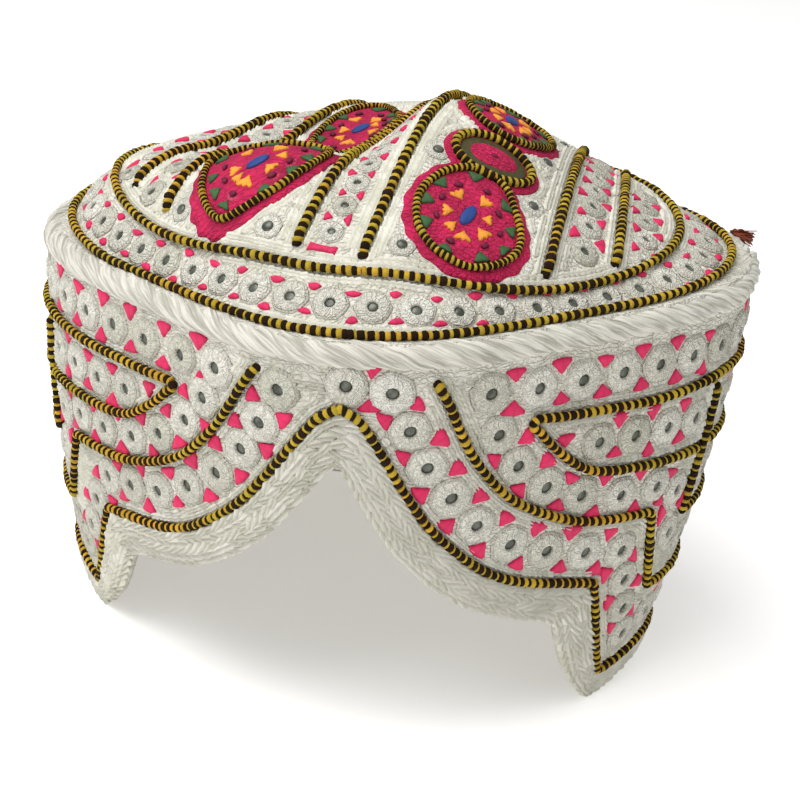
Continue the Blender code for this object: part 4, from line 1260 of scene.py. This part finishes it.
def band_cord_routes():
    """Every whipped cord of the band: route in millimetres and whether it closes."""
    cord, _ = edge_rows(1.0)
    lower = smooth_route(LEAF_LOWER_CORD, 1.0)
    tip = np.array(LEAF_TIP)
    right = np.concatenate([lower[::-1], tip])
    left = right[::-1] * [-1, 1] + [2 * HALF_ROUND / MM, 0]
    return ({"route": cord, "closed": True}, {"route": round_the_back(SHOULDER_CORD), "closed": False},
        {"route": round_the_back(SIDE_CORD), "closed": False}, {"route": np.concatenate([right,
        round_the_back(LEAF_UPPER_CORD), left]), "closed": False}, {"route": round_the_back(BACK_MIDDLE_CORD),
        "closed": False})


def cord_lift(count, closed):
    """How far out a cord's middle lies; its cut ends are tucked into the cloth."""
    lift = np.full(count, 1.2)
    if not closed:
        lift[[0, -1]] = -0.2
        lift[[1, -2]] = 0.6
    return lift


def fill_hearts(fills):
    """Middles of the pink fills."""
    return np.array([spot + np.cross(up, along) * FILL_REACH * size[1] for spot, up, along, size in fills])


def outer_ring_share(angle):
    return OUTER_RING + OUTER_RING_LONG * np.cos(2 * angle) + OUTER_RING_DIAMOND * np.cos(4 * angle)


def middle_ring_share(angle):
    return (OUTER_RING + inner_ring_share(angle)) / 2


def crown_rings():
    return (ring_plan(outer_ring_share, 400), ring_plan(inner_ring_share, 400))


def wind(name, trails, spread, thick, *nodes):
    """Whipped cords along trails; spread widens or narrows their bands, and thick their radius."""
    sizes = bpy.context.scene.cap_sizes
    thread = material_named("whipped_floss", whipped_thread, dyed("dark_band"), dyed("straw_band"),
        dyed("orange"))
    turn = turn_shape()
    made = grow(name, line_mesh(name + "_lines", trails), tree_named("whipped_turns", whipping_tree),
        {"Turn": turn, "Spacing": sizes.turn_spacing * spread, "Radius": sizes.cord_radius * thick,
        "Dark Share": sizes.dark_share, "Slant": 0.16, "Thread": thread})
    return sewn(made, "whipped_thread", *nodes)


def chain_rows(name, trails, length, width, height):
    """Rows of white chain stitch along trails."""
    sizes = bpy.context.scene.cap_sizes
    stitch = stitch_shape()
    made = grow(name, line_mesh(name + "_lines", trails), tree_named("chain_stitch_rows", stitch_tree),
        {"Stitch": stitch, "Pitch": sizes.stitch_pitch, "Length": length, "Width": width, "Height": height,
        "Thread": cotton("mercerised_cotton_stitch", cotton_stitch)})
    return sewn(made, "cotton_cloth")


def above_arch(route, cord):
    """The points of a band route that lie between the arch cord and the rope."""
    reach = HALF_ROUND / MM
    u = np.abs((route[:, 0] + reach) % (2 * reach) - reach)
    half = cord[:, 0] <= reach
    low = np.interp(u, cord[half, 0], cord[half, 1])
    return route[(route[:, 1] > low + 1.5) & (route[:, 1] < 108.6)]


def band_stitch_trails():
    """Rows of chain stitch that follow the band's cords and fill the ground between them."""
    cords = band_cord_routes()
    cord_spots = np.concatenate([band_trail(item["route"], 0.0)["spots"] for item in cords])
    cord = cords[0]["route"]
    rosettes, fills = band_rows()
    hurdles = ((point_tree(cord_spots), 2.0 * MM), (point_tree([row[0] for row in rosettes]), 6.3 * MM),
        (point_tree(fill_hearts(fills)), 3.1 * MM))
    along = np.arange(0.0, 2 * HALF_ROUND / MM, 1.0)
    under_rope = {"route": np.stack([along, np.full_like(along, 109.3)], axis=-1), "closed": True}
    candidates = []
    for distance in (2.35, 4.2, 6.05, 7.9, 9.75, 11.6):
        for item in cords + (under_rope,):
            for side in (-1, 1):
                route = above_arch(beside(item["route"], side * distance, item["closed"]), cord)
                if len(route) >= SHORTEST_ROW:
                    candidates.append(band_trail(route, 0.1))
    return packed_rows(candidates, hurdles, ROW_ROOM)


def beside_on_crown(trail, distance):
    """A crown trail moved sideways along the surface."""
    spots, ups = trail["spots"], trail["ups"]
    if trail["closed"]:
        way = np.roll(spots, -1, 0) - np.roll(spots, 1, 0)
    else:
        way = np.gradient(spots, axis=0)
    moved = spots + distance * unit(np.cross(ups, way))
    return crown_trail(moved[:, 0], moved[:, 1], 0.1, trail["closed"])


def inside_ring(trail, margin):
    """The trail without the points outside of the crown's inner ring."""
    kept = ring_room(trail["spots"][:, 0], trail["spots"][:, 1]) > margin
    return {"spots": trail["spots"][kept], "ups": trail["ups"][kept],
        "closed": trail["closed"] and kept.all()}


def crown_stitch_trails():
    """Rows of chain stitch along the crown's cords and medallions, and meandering rows on its panels."""
    rings = [crown_trail(x, y, 0.0, True) for x, y in crown_rings()]
    dividers = []
    for offset in DIVIDERS:
        route = divider_route(offset)
        dividers.append(pattern_trail(route, 0.0))
    cord_spots = np.concatenate([trail["spots"] for trail in rings + dividers])
    hurdles = [(point_tree(cord_spots), 2.0 * MM)]
    rosettes, ring_fills, strip_fills = crown_rows()
    hurdles.append((point_tree(fill_hearts(ring_fills)), 2.4 * MM))
    hurdles.append((point_tree(fill_hearts(strip_fills)), 2.6 * MM))
    beside_bar = BAR_PLACE[0] + np.linspace(-3.8, 3.8, 8) * MM
    hurdles.append((point_tree(on_pattern(beside_bar, np.full(8, BAR_PLACE[1]))[0]), 2.2 * MM))
    rosettes = rosettes + panel_mirrors()
    for radius in sorted({row[3][0] for row in rosettes}):
        spots = [row[0] for row in rosettes if row[3][0] == radius]
        hurdles.append((point_tree(spots), radius + 0.35 * MM))
    edgings = []
    for outline, heart in medallion_edgings():
        edgings.append(outline)
        covered = np.concatenate([heart + (outline - heart) * share for share in np.arange(0.05, 1.01, 0.05)])
        spots, _ = on_pattern(covered[:, 0] * MM, covered[:, 1] * MM)
        hurdles.append((point_tree(spots), 1.0 * MM))
    candidates = []
    for distance in (2.35, 4.2):
        candidates += [beside_on_crown(rings[0], distance * MM)]
        candidates += [beside_on_crown(rings[1], side * distance * MM) for side in (-1, 1)]
        for divider in dividers:
            candidates += [inside_ring(beside_on_crown(divider, side * distance * MM), 2.2 * MM)
                for side in (-1, 1)]
    for outline in edgings:
        around = outwards(outline, 1.1)
        candidates.append(pattern_trail(around, 0.1, True))
    along = np.arange(-85.0, 85.0, 0.8)
    for offset in np.arange(-84.0, 84.5, 1.9):
        wavy = np.stack([offset + 0.9 * np.sin(2 * math.pi * along / 8.5 + 0.05 * offset), along], axis=-1)
        candidates.append(inside_ring(pattern_trail(wavy, 0.1), 2.2 * MM))
    return packed_rows(candidates, hurdles, ROW_ROOM)


DIVIDERS = tuple(sign * offset for offset in (STRIP_HALF, PANEL_EDGE, SIDE_STRIP_EDGE) for sign in (-1, 1))


class CAP_OT_cords(bpy.types.Operator):
    """Winds the brown and yellow thread round every cord"""

    bl_idname = "cap.cords"
    bl_label = "Whipped cords"

    def execute(self, context):
        band, rings, dividers = [], [], []
        for item in band_cord_routes():
            band.append(band_trail(item["route"], cord_lift(len(item["route"]), item["closed"]),
                item["closed"]))
        for x, y in crown_rings():
            rings.append(crown_trail(x, y, cord_lift(len(x), True), True))
        for offset in DIVIDERS:
            route = divider_route(offset)
            dividers.append(pattern_trail(route, cord_lift(len(route), False)))
        wind("band_whipped_cords", band, 1.0, 1.0, "arch_cord", "shoulder_cord", "side_cord",
            "leaf_upper_cord", "back_middle_cord", "leaf_lower_cord_left", "leaf_lower_cord_right")
        wind("crown_ring_cords", rings, 1.06, 0.94, "crown_outer_cord", "crown_inner_cord")
        wind("crown_divider_cords", dividers, 1.0, 1.06, "divider_middle_left", "divider_middle_right",
            "divider_panel_left", "divider_panel_right", "divider_side_left", "divider_side_right")
        return {"FINISHED"}


class CAP_OT_stitch_rows(bpy.types.Operator):
    """Sews the rows of white chain stitch beside the cords and over the ground"""

    bl_idname = "cap.stitch_rows"
    bl_label = "Chain stitch rows"

    def execute(self, context):
        chain_rows("band_chain_stitch", band_stitch_trails(), 0.0028, 0.0019, 0.0009)
        chain_rows("crown_chain_stitch", crown_stitch_trails(), 0.0027, 0.0019, 0.0009)
        return {"FINISHED"}


def row_frames(spots, ups):
    """Direction along a row at each of its spots, kept on the surface."""
    way = np.gradient(spots, axis=0) if len(spots) > 1 else np.array([[1.0, 0.0, 0.0]])
    way = way - np.sum(way * ups, axis=1, keepdims=True) * ups
    return unit(way)


def row_of(spots, ups, width, wedge=1.0):
    """Rosettes at the spots of one row and fills between them."""
    way = row_frames(spots, ups)
    rosettes = [(spots[k], ups[k], way[k], (width / 2,) * 3) for k in range(len(spots))]
    fills = []
    for k in range(len(spots) - 1):
        gap = spots[k + 1] - spots[k]
        reach = np.linalg.norm(gap)
        middle, up = (spots[k] + spots[k + 1]) / 2, unit(ups[k] + ups[k + 1])
        along = unit(gap - np.dot(gap, up) * up)
        if reach > width * 1.7:
            continue
        scale = MM * wedge * width / 0.0124
        stretch = MM * wedge * min(1.35, reach / 0.0124)
        fills += [(middle, up, turned, (stretch, scale, 0.0008)) for turned in (along, -along)]
    return rosettes, fills


def band_rows():
    """Rosettes and fills of the whole band."""
    rosettes, fills = [], []
    for row in FRONT_ROSETTES.values():
        table = np.array(row) * MM
        spots, ups = on_band(table[:, 0], table[:, 1])
        more = row_of(spots, ups, ROSETTE_WIDTH)
        rosettes += more[0]
        fills += more[1]
    for height, right, left in BACK_ROWS:
        first, last = right * MM, 2 * HALF_ROUND + left * MM
        count = round((last - first) / (ROSETTE_PITCH * MM))
        u = np.linspace(first, last, count + 1)
        spots, ups = on_band(u, np.full_like(u, height * MM))
        more = row_of(spots, ups, ROSETTE_WIDTH)
        rosettes += more[0]
        fills += more[1]
    for u, v in LONE_FILLS:
        spots, ups = on_band(np.array([u, u + 1.0]) * MM, np.full(2, v - FILL_REACH) * MM)
        fills.append((spots[0], ups[0], unit(spots[1] - spots[0]), (MM, MM, 0.0008)))
    return rosettes, fills


def crown_rows():
    """Rosettes, ring fills and strip fills of the crown."""
    x, y = ring_plan(middle_ring_share, RING_POINTS)
    line, _ = on_crown(x, y)
    steps = np.linalg.norm(np.roll(line, -1, 0) - line, axis=1)
    at = np.concatenate([[0.0], np.cumsum(steps)])
    start = np.interp(RING_START / 360 * RING_POINTS, np.arange(RING_POINTS + 1), at)
    wanted = (start + at[-1] * np.arange(RING_ROSETTES + 1) / RING_ROSETTES) % at[-1]
    x = np.interp(wanted, at, np.append(x, x[0]))
    y = np.interp(wanted, at, np.append(y, y[0]))
    spots, ups = on_crown(x, y)
    rosettes, ring_fills = row_of(spots, ups, 0.0102, 0.92)
    rosettes = rosettes[:-1]
    strip_fills = []
    strips = ({"across": -1.2, "pitch": 7.8, "first": -60.8, "last": 60.0, "width": 0.0078, "wedge": 0.85},
        {"across": 51.6, "pitch": 10.6, "first": -40.5, "last": 38.0, "width": 0.0092, "wedge": 1.0},
        {"across": -51.6, "pitch": 10.6, "first": -32.5, "last": 50.0, "width": 0.0092, "wedge": 1.0},
        {"across": 66.2, "pitch": 10.6, "first": -32.0, "last": 18.0, "width": 0.0082, "wedge": 1.0},
        {"across": -66.0, "pitch": 10.6, "first": -16.0, "last": 34.0, "width": 0.0082, "wedge": 1.0})
    for strip in strips:
        along = np.arange(strip["first"], strip["last"] + 0.1, strip["pitch"])
        spots, ups = on_pattern(np.full_like(along, strip["across"]) * MM, along * MM)
        more = row_of(spots, ups, strip["width"], strip["wedge"])
        rosettes += more[0]
        strip_fills += more[1]
    return rosettes, ring_fills, strip_fills


def panel_mirrors():
    """Lone mirrors of the white panels, each in a small ring of stitches."""
    rows = []
    for across, along in PANEL_MIRRORS:
        spot, up = on_pattern(across * MM, along * MM)
        rows.append((spot, up, np.array([1.0, 0.0, 0.0]), (0.0038, 0.0038, 0.0014)))
    return rows


def sew_on(name, rows, shape, uneven, thread, slot):
    """One shape sewn at every row's spot."""
    made = grow(name, spot_mesh(name + "_spots", rows), tree_named("sewn_shapes", scatter_tree),
        {"Shape": shape, "Uneven Size": uneven[0], "Uneven Turn": uneven[1],
        "Thread": thread})
    return sewn(made, slot)


def sew_mirrors(place, rosettes, share=0.29, rise=0.0005):
    """Rosettes of one part of the cap, with chips of mirror that are a share of their rosette's size."""
    sew_on(place + "_rosettes", rosettes, rosette_shape(), (0.04, 0.2),
        cotton("buttonhole_cotton", buttonhole_cotton), "cotton_cloth")
    chips = [(spot, up, along, (size[0] * share, size[0] * share, rise)) for spot, up, along,
        size in rosettes]
    sew_on(place + "_mirrors", chips, oval_shape(), (0.08, 0.5), material_named("silvered_glass_chip",
        mirror_chip, dyed("mirror")), "cotton_cloth")


class CAP_OT_rosettes(bpy.types.Operator):
    """Sews the rosettes, the mirrors that they hold and the pink fills between them"""

    bl_idname = "cap.rosettes"
    bl_label = "Rosettes"

    def execute(self, context):
        rosettes, fills = band_rows()
        sew_mirrors("band", rosettes)
        sew_on("band_pink_fills", fills, wedge_shape(), (0.2, 0.14), floss("pink"), "pink_thread")
        rosettes, ring_fills, strip_fills = crown_rows()
        sew_mirrors("crown", rosettes)
        sew_mirrors("panel", panel_mirrors(), 0.42, 0.0009)
        sew_on("crown_ring_fills", ring_fills, blob_shape(), (0.2, 0.2), floss("pink"), "pink_thread")
        sew_on("crown_strip_fills", strip_fills, wedge_shape(), (0.2, 0.14), floss("pink"), "pink_thread")
        spot, up = on_pattern(*BAR_PLACE)
        bar = [(spot, up, np.array([1.0, -0.12, 0.0]), (0.0041, 0.0014, 0.0007))]
        sew_on("crown_pink_bar", bar, bar_shape(), (0.0, 0.0), floss("pink"), "pink_thread")
        return {"FINISHED"}


def crown_pad(name, outline, heart, lift, rise, thread):
    """Pad that follows the crown inside a closed outline, in pattern millimetres."""
    heart = np.array(heart)
    # share of the way to the outline, and height: the lower face from its middle, the upper one to its middle
    rings = [(share, -0.4) for share in np.linspace(0.1, 0.9, 9)]
    rings += [(1.0, lift - 0.4 * rise), (0.985, lift + 0.3 * rise)]
    rings += [(share, lift + rise * (1 - 0.45 * share ** 4)) for share in np.linspace(0.93, 0.05, 12)]
    rings = [(0.0, -0.4)] + rings + [(0.0, lift + rise)]
    spots = np.concatenate([heart + (outline - heart) * share for share, _ in rings])
    lifts = np.repeat([height for _, height in rings], len(outline))
    points, _ = on_pattern(spots[:, 0] * MM, spots[:, 1] * MM, lifts * MM)
    size = len(outline)
    faces = ring_faces(len(rings), size)
    if signed_area(outline) < 0:
        faces = [f[::-1] for f in faces]
    pad = solid(name, points, faces, spots * MM, thread)
    # the first and the last ring are points
    shape = bmesh.new()
    shape.from_mesh(pad.data)
    bmesh.ops.remove_doubles(shape, verts=shape.verts, dist=1e-7)
    shape.to_mesh(pad.data)
    shape.free()
    return pad


def signed_area(outline):
    """Twice the area inside a closed outline, negative where it runs clockwise."""
    after = np.roll(outline, -1, 0)
    return np.sum(outline[:, 0] * after[:, 1] - after[:, 0] * outline[:, 1])


def outwards(outline, distance):
    """Closed outline grown by a distance in millimetres."""
    return beside(outline, -distance if signed_area(outline) > 0 else distance, True)


def edging_of(outline, heart):
    """Outer edge of a medallion's pink ribbon, slightly scalloped."""
    wave = 0.25 * np.sin(np.arange(len(outline)) * 2 * math.pi * 17 / len(outline))
    return outwards(outline, 1.0) + unit(outline - heart) * (1.9 + wave)[:, None]


def medallion_motifs(outline, heart, lean):
    """Shapes inside one medallion: thread, place, outward direction, way from the heart, width and length."""
    bearings = np.degrees(np.arctan2(outline[:, 0] - heart[0], outline[:, 1] - heart[1]))
    found = []
    for thread, rows in MOTIFS.items():
        grown = MOTIF_GROWTH[thread] * MM
        lift = (1.3 if thread == "wine" else 1.05) * MM
        for bearing, share, wide, long in rows:
            reach = outline[np.argmin(np.abs((bearings - bearing + 180) % 360 - 180))] - heart
            place, up = on_pattern(*((heart + reach * share) * MM), lift)
            ahead, _ = on_pattern(*((heart + reach * (share + 0.05)) * MM), lift)
            radial = unit(ahead - place)
            found.append((thread, place, up, radial, wide * grown, long * grown))
            if thread == "wine":
                found.append(("rings", place - 0.4 * MM * up, up, radial, 2.3 * MM, 2.1 * MM))
    turn = math.radians(lean)
    lift = 1.15 * MM
    place, up = on_pattern(*(heart * MM), lift)
    ahead, _ = on_pattern((heart[0] + math.sin(turn)) * MM, (heart[1] + math.cos(turn)) * MM, lift)
    found.append(("blue", place, up, unit(ahead - place), 1.9 * MM, 3.8 * MM))
    return found


def disc_ring(disc, grown=0.0):
    """Oval outline of a disc, grown by a distance in millimetres."""
    turn = 2 * math.pi * np.arange(DISC_POINTS) / DISC_POINTS
    lean = math.radians(disc["lean"])
    plain = np.stack([disc["half_across"] * np.cos(turn), disc["half_along"] * np.sin(turn)], axis=-1)
    spin = np.array([[math.cos(lean), math.sin(lean)], [-math.sin(lean), math.cos(lean)]])
    shape = plain @ spin
    return shape + unit(shape) * grown + np.array(disc["heart"])


def medallion_edgings():
    """Outer edge and heart of every medallion and disc."""
    found = []
    for item in MEDALLIONS:
        outline = smooth_loop(item["outline"], OUTLINE_POINTS)
        found.append((edging_of(outline, np.array(item["heart"])), np.array(item["heart"])))
    for disc in DISCS:
        found.append((disc_ring(disc, 2.7), np.array(disc["heart"])))
    return found


class CAP_OT_medallions(bpy.types.Operator):
    """Embroiders the medallions: pink ground and edging, whipped outline, petals, leaves and blue heart"""

    bl_idname = "cap.medallions"
    bl_label = "Medallions"

    def execute(self, context):
        pink = material_named("chain_stitched_pink_ground", stitched_ground, deeper(dyed("pink"), 0.9),
            deeper(dyed("pink"), 0.6))
        motifs = {"orange": [], "green": [], "wine": [], "blue": [], "rings": []}
        trails, disc_trails = [], []
        for item in MEDALLIONS:
            outline = smooth_loop(item["outline"], OUTLINE_POINTS)
            heart = np.array(item["heart"])
            edging = edging_of(outline, heart)
            sewn(crown_pad("medallion_edging_" + item["name"], edging, heart, 0.1, 0.65, pink), "pink_thread")
            ground = crown_pad("medallion_ground_" + item["name"], outline, heart, 0.35, 0.75, pink)
            sewn(ground, "pink_thread", "medallion_" + item["name"])
            trails.append(pattern_trail(outline, 1.35, True))
            for key, place, up, radial, wide, long in medallion_motifs(outline, heart, item["lean"]):
                motifs[key].append((place, up, np.cross(radial, up), (wide, long, 0.0006)))
        for disc in DISCS:
            heart = np.array(disc["heart"])
            name = disc["name"]
            sewn(crown_pad("disc_edging_" + name, disc_ring(disc, 2.7), heart, 0.15, 0.65, pink),
                "pink_thread")
            sewn(crown_pad("disc_ring_" + name, disc_ring(disc, -0.8), heart, 0.4, 0.75, floss("olive")),
                "pink_thread", "medallion_" + name)
            sewn(crown_pad("disc_heart_" + name, disc_ring(disc, -3.4), heart, 0.6, 0.9, pink), "pink_thread")
            disc_trails.append(pattern_trail(disc_ring(disc), 1.35, True))
            place, up = on_pattern(*(heart * MM), 0.0015)
            motifs["wine"].append((place, up, np.array([1.0, 0.0, 0.0]), (0.0011, 0.0008, 0.0004)))
        wind("medallion_whipped_cords", trails, 0.62, 0.82)
        wind("disc_whipped_cords", disc_trails, 0.8, 0.95)
        for key, shape in (("orange", petal_shape()), ("green", leaf_shape()), ("wine", oval_shape()),
                           ("blue", oval_shape())):
            sew_on("medallion_" + key, motifs[key], shape, (0.12, 0.2), floss(key), "pink_thread")
        ring = material_named("buttonhole_pink_floss", buttonhole_cotton, paler(dyed("pink"), 0.12),
            dyed("pink"))
        sew_on("medallion_pink_rings", motifs["rings"], rosette_shape(), (0.08, 0.3), ring, "pink_thread")
        return {"FINISHED"}


class CAP_OT_tassel(bpy.types.Operator):
    """Knots the small red-brown tuft over the rope"""

    bl_idname = "cap.tassel"
    bl_label = "Tassel"

    def execute(self, context):
        angle = math.radians(103.0)
        out = unit(np.array([math.sin(angle), -math.cos(angle), -0.25]))
        foot = wall_surface(np.array(angle), np.array(0.1176)) + 0.0012 * out
        side = unit(np.cross(out, [0.0, 0.0, 1.0]))
        over = np.cross(side, out)
        chance = np.random.default_rng(11)
        points, faces = [], []
        for strand in range(90):
            spread = chance.normal(0.0, 1.0, 2)
            root = foot + 0.0009 * (spread[0] * side + 0.6 * spread[1] * over)
            tip = foot + (0.0052 + 0.0016 * chance.random()) * out
            tip = tip + 0.0012 * (spread[0] * side + spread[1] * over)
            bend = 0.0007 * chance.normal(0.0, 1.0, 3)
            base = len(points)
            for k, centre in enumerate((root, (root + tip) / 2 + bend, tip)):
                for j in range(4):
                    turn = math.pi / 2 * j
                    thick = 0.00030 * (1 - 0.25 * k)
                    points.append(centre + thick * (math.cos(turn) * side + math.sin(turn) * over))
            faces += [tuple(base + i for i in face) for face in ring_faces(3, 4)]
            faces.append((base + 3, base + 2, base + 1, base))
            faces.append((base + 8, base + 9, base + 10, base + 11))
        tuft = solid("rim_tassel_threads", points, faces, np.array(points)[:, :2], floss("tuft"))
        sewn(tuft, "tassel_thread", "rim_tassel")
        return {"FINISHED"}


class CAP_OT_stage(bpy.types.Operator):
    """Sets the white floor, the soft lights and the camera of the photograph's view"""

    bl_idname = "cap.stage"
    bl_label = "Stage"

    def execute(self, context):
        stage = context.scene.cap_stage
        half = 30.0
        floor = solid("studio_floor", [(-half, -half, 0), (half, -half, 0), (half, half, 0),
            (-half, half, 0)], [(0, 1, 2, 3)], None, material_named("opal_acrylic_light_table", light_table),
            False)
        for name, place, size, power in (("key_light", (-0.42, -0.34, 1.22), 1.0, stage.key_power),
                                         ("fill_light", (-0.25, -1.15, 0.28), 0.8, stage.fill_power)):
            lamp = bpy.data.lights.new(name, "AREA")
            lamp.size = size
            lamp.energy = power
            thing = bpy.data.objects.new(name, lamp)
            context.scene.collection.objects.link(thing)
            away = unit(np.array(place) - [0.0, 0.0, 0.08])
            across = unit(np.cross([0.0, 0.0, 1.0], away))
            turned = Matrix((across, np.cross(away, across), away)).transposed().to_4x4()
            turned.translation = place
            thing.matrix_world = turned
        world = context.scene.world or bpy.data.worlds.new("studio")
        context.scene.world = world
        world.use_nodes = True
        sky = world.node_tree.nodes["Background"]
        sky.inputs["Color"].default_value = linear("#FFFFFF")
        sky.inputs["Strength"].default_value = stage.air
        context.scene.view_settings.view_transform = "Standard"
        azimuth, elevation, roll = (math.radians(a) for a in CAMERA_ANGLES)
        back = np.array([math.sin(azimuth) * math.cos(elevation), -math.cos(azimuth) * math.cos(elevation),
            math.sin(elevation)])
        right = np.array([math.cos(azimuth), math.sin(azimuth), 0.0])
        up = np.cross(back, right)
        level = right * math.cos(roll) + up * math.sin(roll)
        upright = up * math.cos(roll) - right * math.sin(roll)
        lens = bpy.data.cameras.new("camera")
        lens.sensor_width = SENSOR_WIDTH
        lens.lens = CAMERA_FOCAL / PHOTO_WIDTH * SENSOR_WIDTH
        lens.clip_start, lens.clip_end = 0.05, 100.0
        camera = bpy.data.objects.new("camera", lens)
        context.scene.collection.objects.link(camera)
        placed = Matrix((level, upright, back)).transposed().to_4x4()
        placed.translation = np.array(CAMERA_AIM) + CAMERA_DISTANCE * back
        camera.matrix_world = placed
        context.scene.camera = camera
        return {"FINISHED"}


class CAP_PT_panel(bpy.types.Panel):
    """Lists the sizes, colours and pieces of the cap"""

    bl_idname = "CAP_PT_panel"
    bl_label = "Prayer cap"
    bl_space_type = "VIEW_3D"
    bl_region_type = "UI"
    bl_category = "Cap"

    def draw(self, context):
        column = self.layout.column()
        for group in (context.scene.cap_sizes, context.scene.cap_colours, context.scene.cap_stage):
            for key in group.__annotations__:
                column.prop(group, key)
        for item in OPERATORS:
            column.operator(item.bl_idname)


OPERATORS = (CAP_OT_side_band, CAP_OT_hem, CAP_OT_rope, CAP_OT_crown, CAP_OT_cords, CAP_OT_stitch_rows,
    CAP_OT_rosettes, CAP_OT_medallions, CAP_OT_tassel, CAP_OT_stage)
CLASSES = (CapSizes, CapColours, CapStage) + OPERATORS + (CAP_PT_panel,)


def register():
    for item in CLASSES:
        bpy.utils.register_class(item)
    bpy.types.Scene.cap_sizes = bpy.props.PointerProperty(type=CapSizes)
    bpy.types.Scene.cap_colours = bpy.props.PointerProperty(type=CapColours)
    bpy.types.Scene.cap_stage = bpy.props.PointerProperty(type=CapStage)


def unregister():
    del bpy.types.Scene.cap_stage
    del bpy.types.Scene.cap_colours
    del bpy.types.Scene.cap_sizes
    for item in reversed(CLASSES):
        bpy.utils.unregister_class(item)


def main():
    register()
    bpy.ops.cap.side_band()
    bpy.ops.cap.hem()
    bpy.ops.cap.rope()
    bpy.ops.cap.crown()
    bpy.ops.cap.cords()
    bpy.ops.cap.stitch_rows()
    bpy.ops.cap.rosettes()
    bpy.ops.cap.medallions()
    bpy.ops.cap.tassel()
    bpy.ops.cap.stage()


if __name__ == "__main__":
    main()
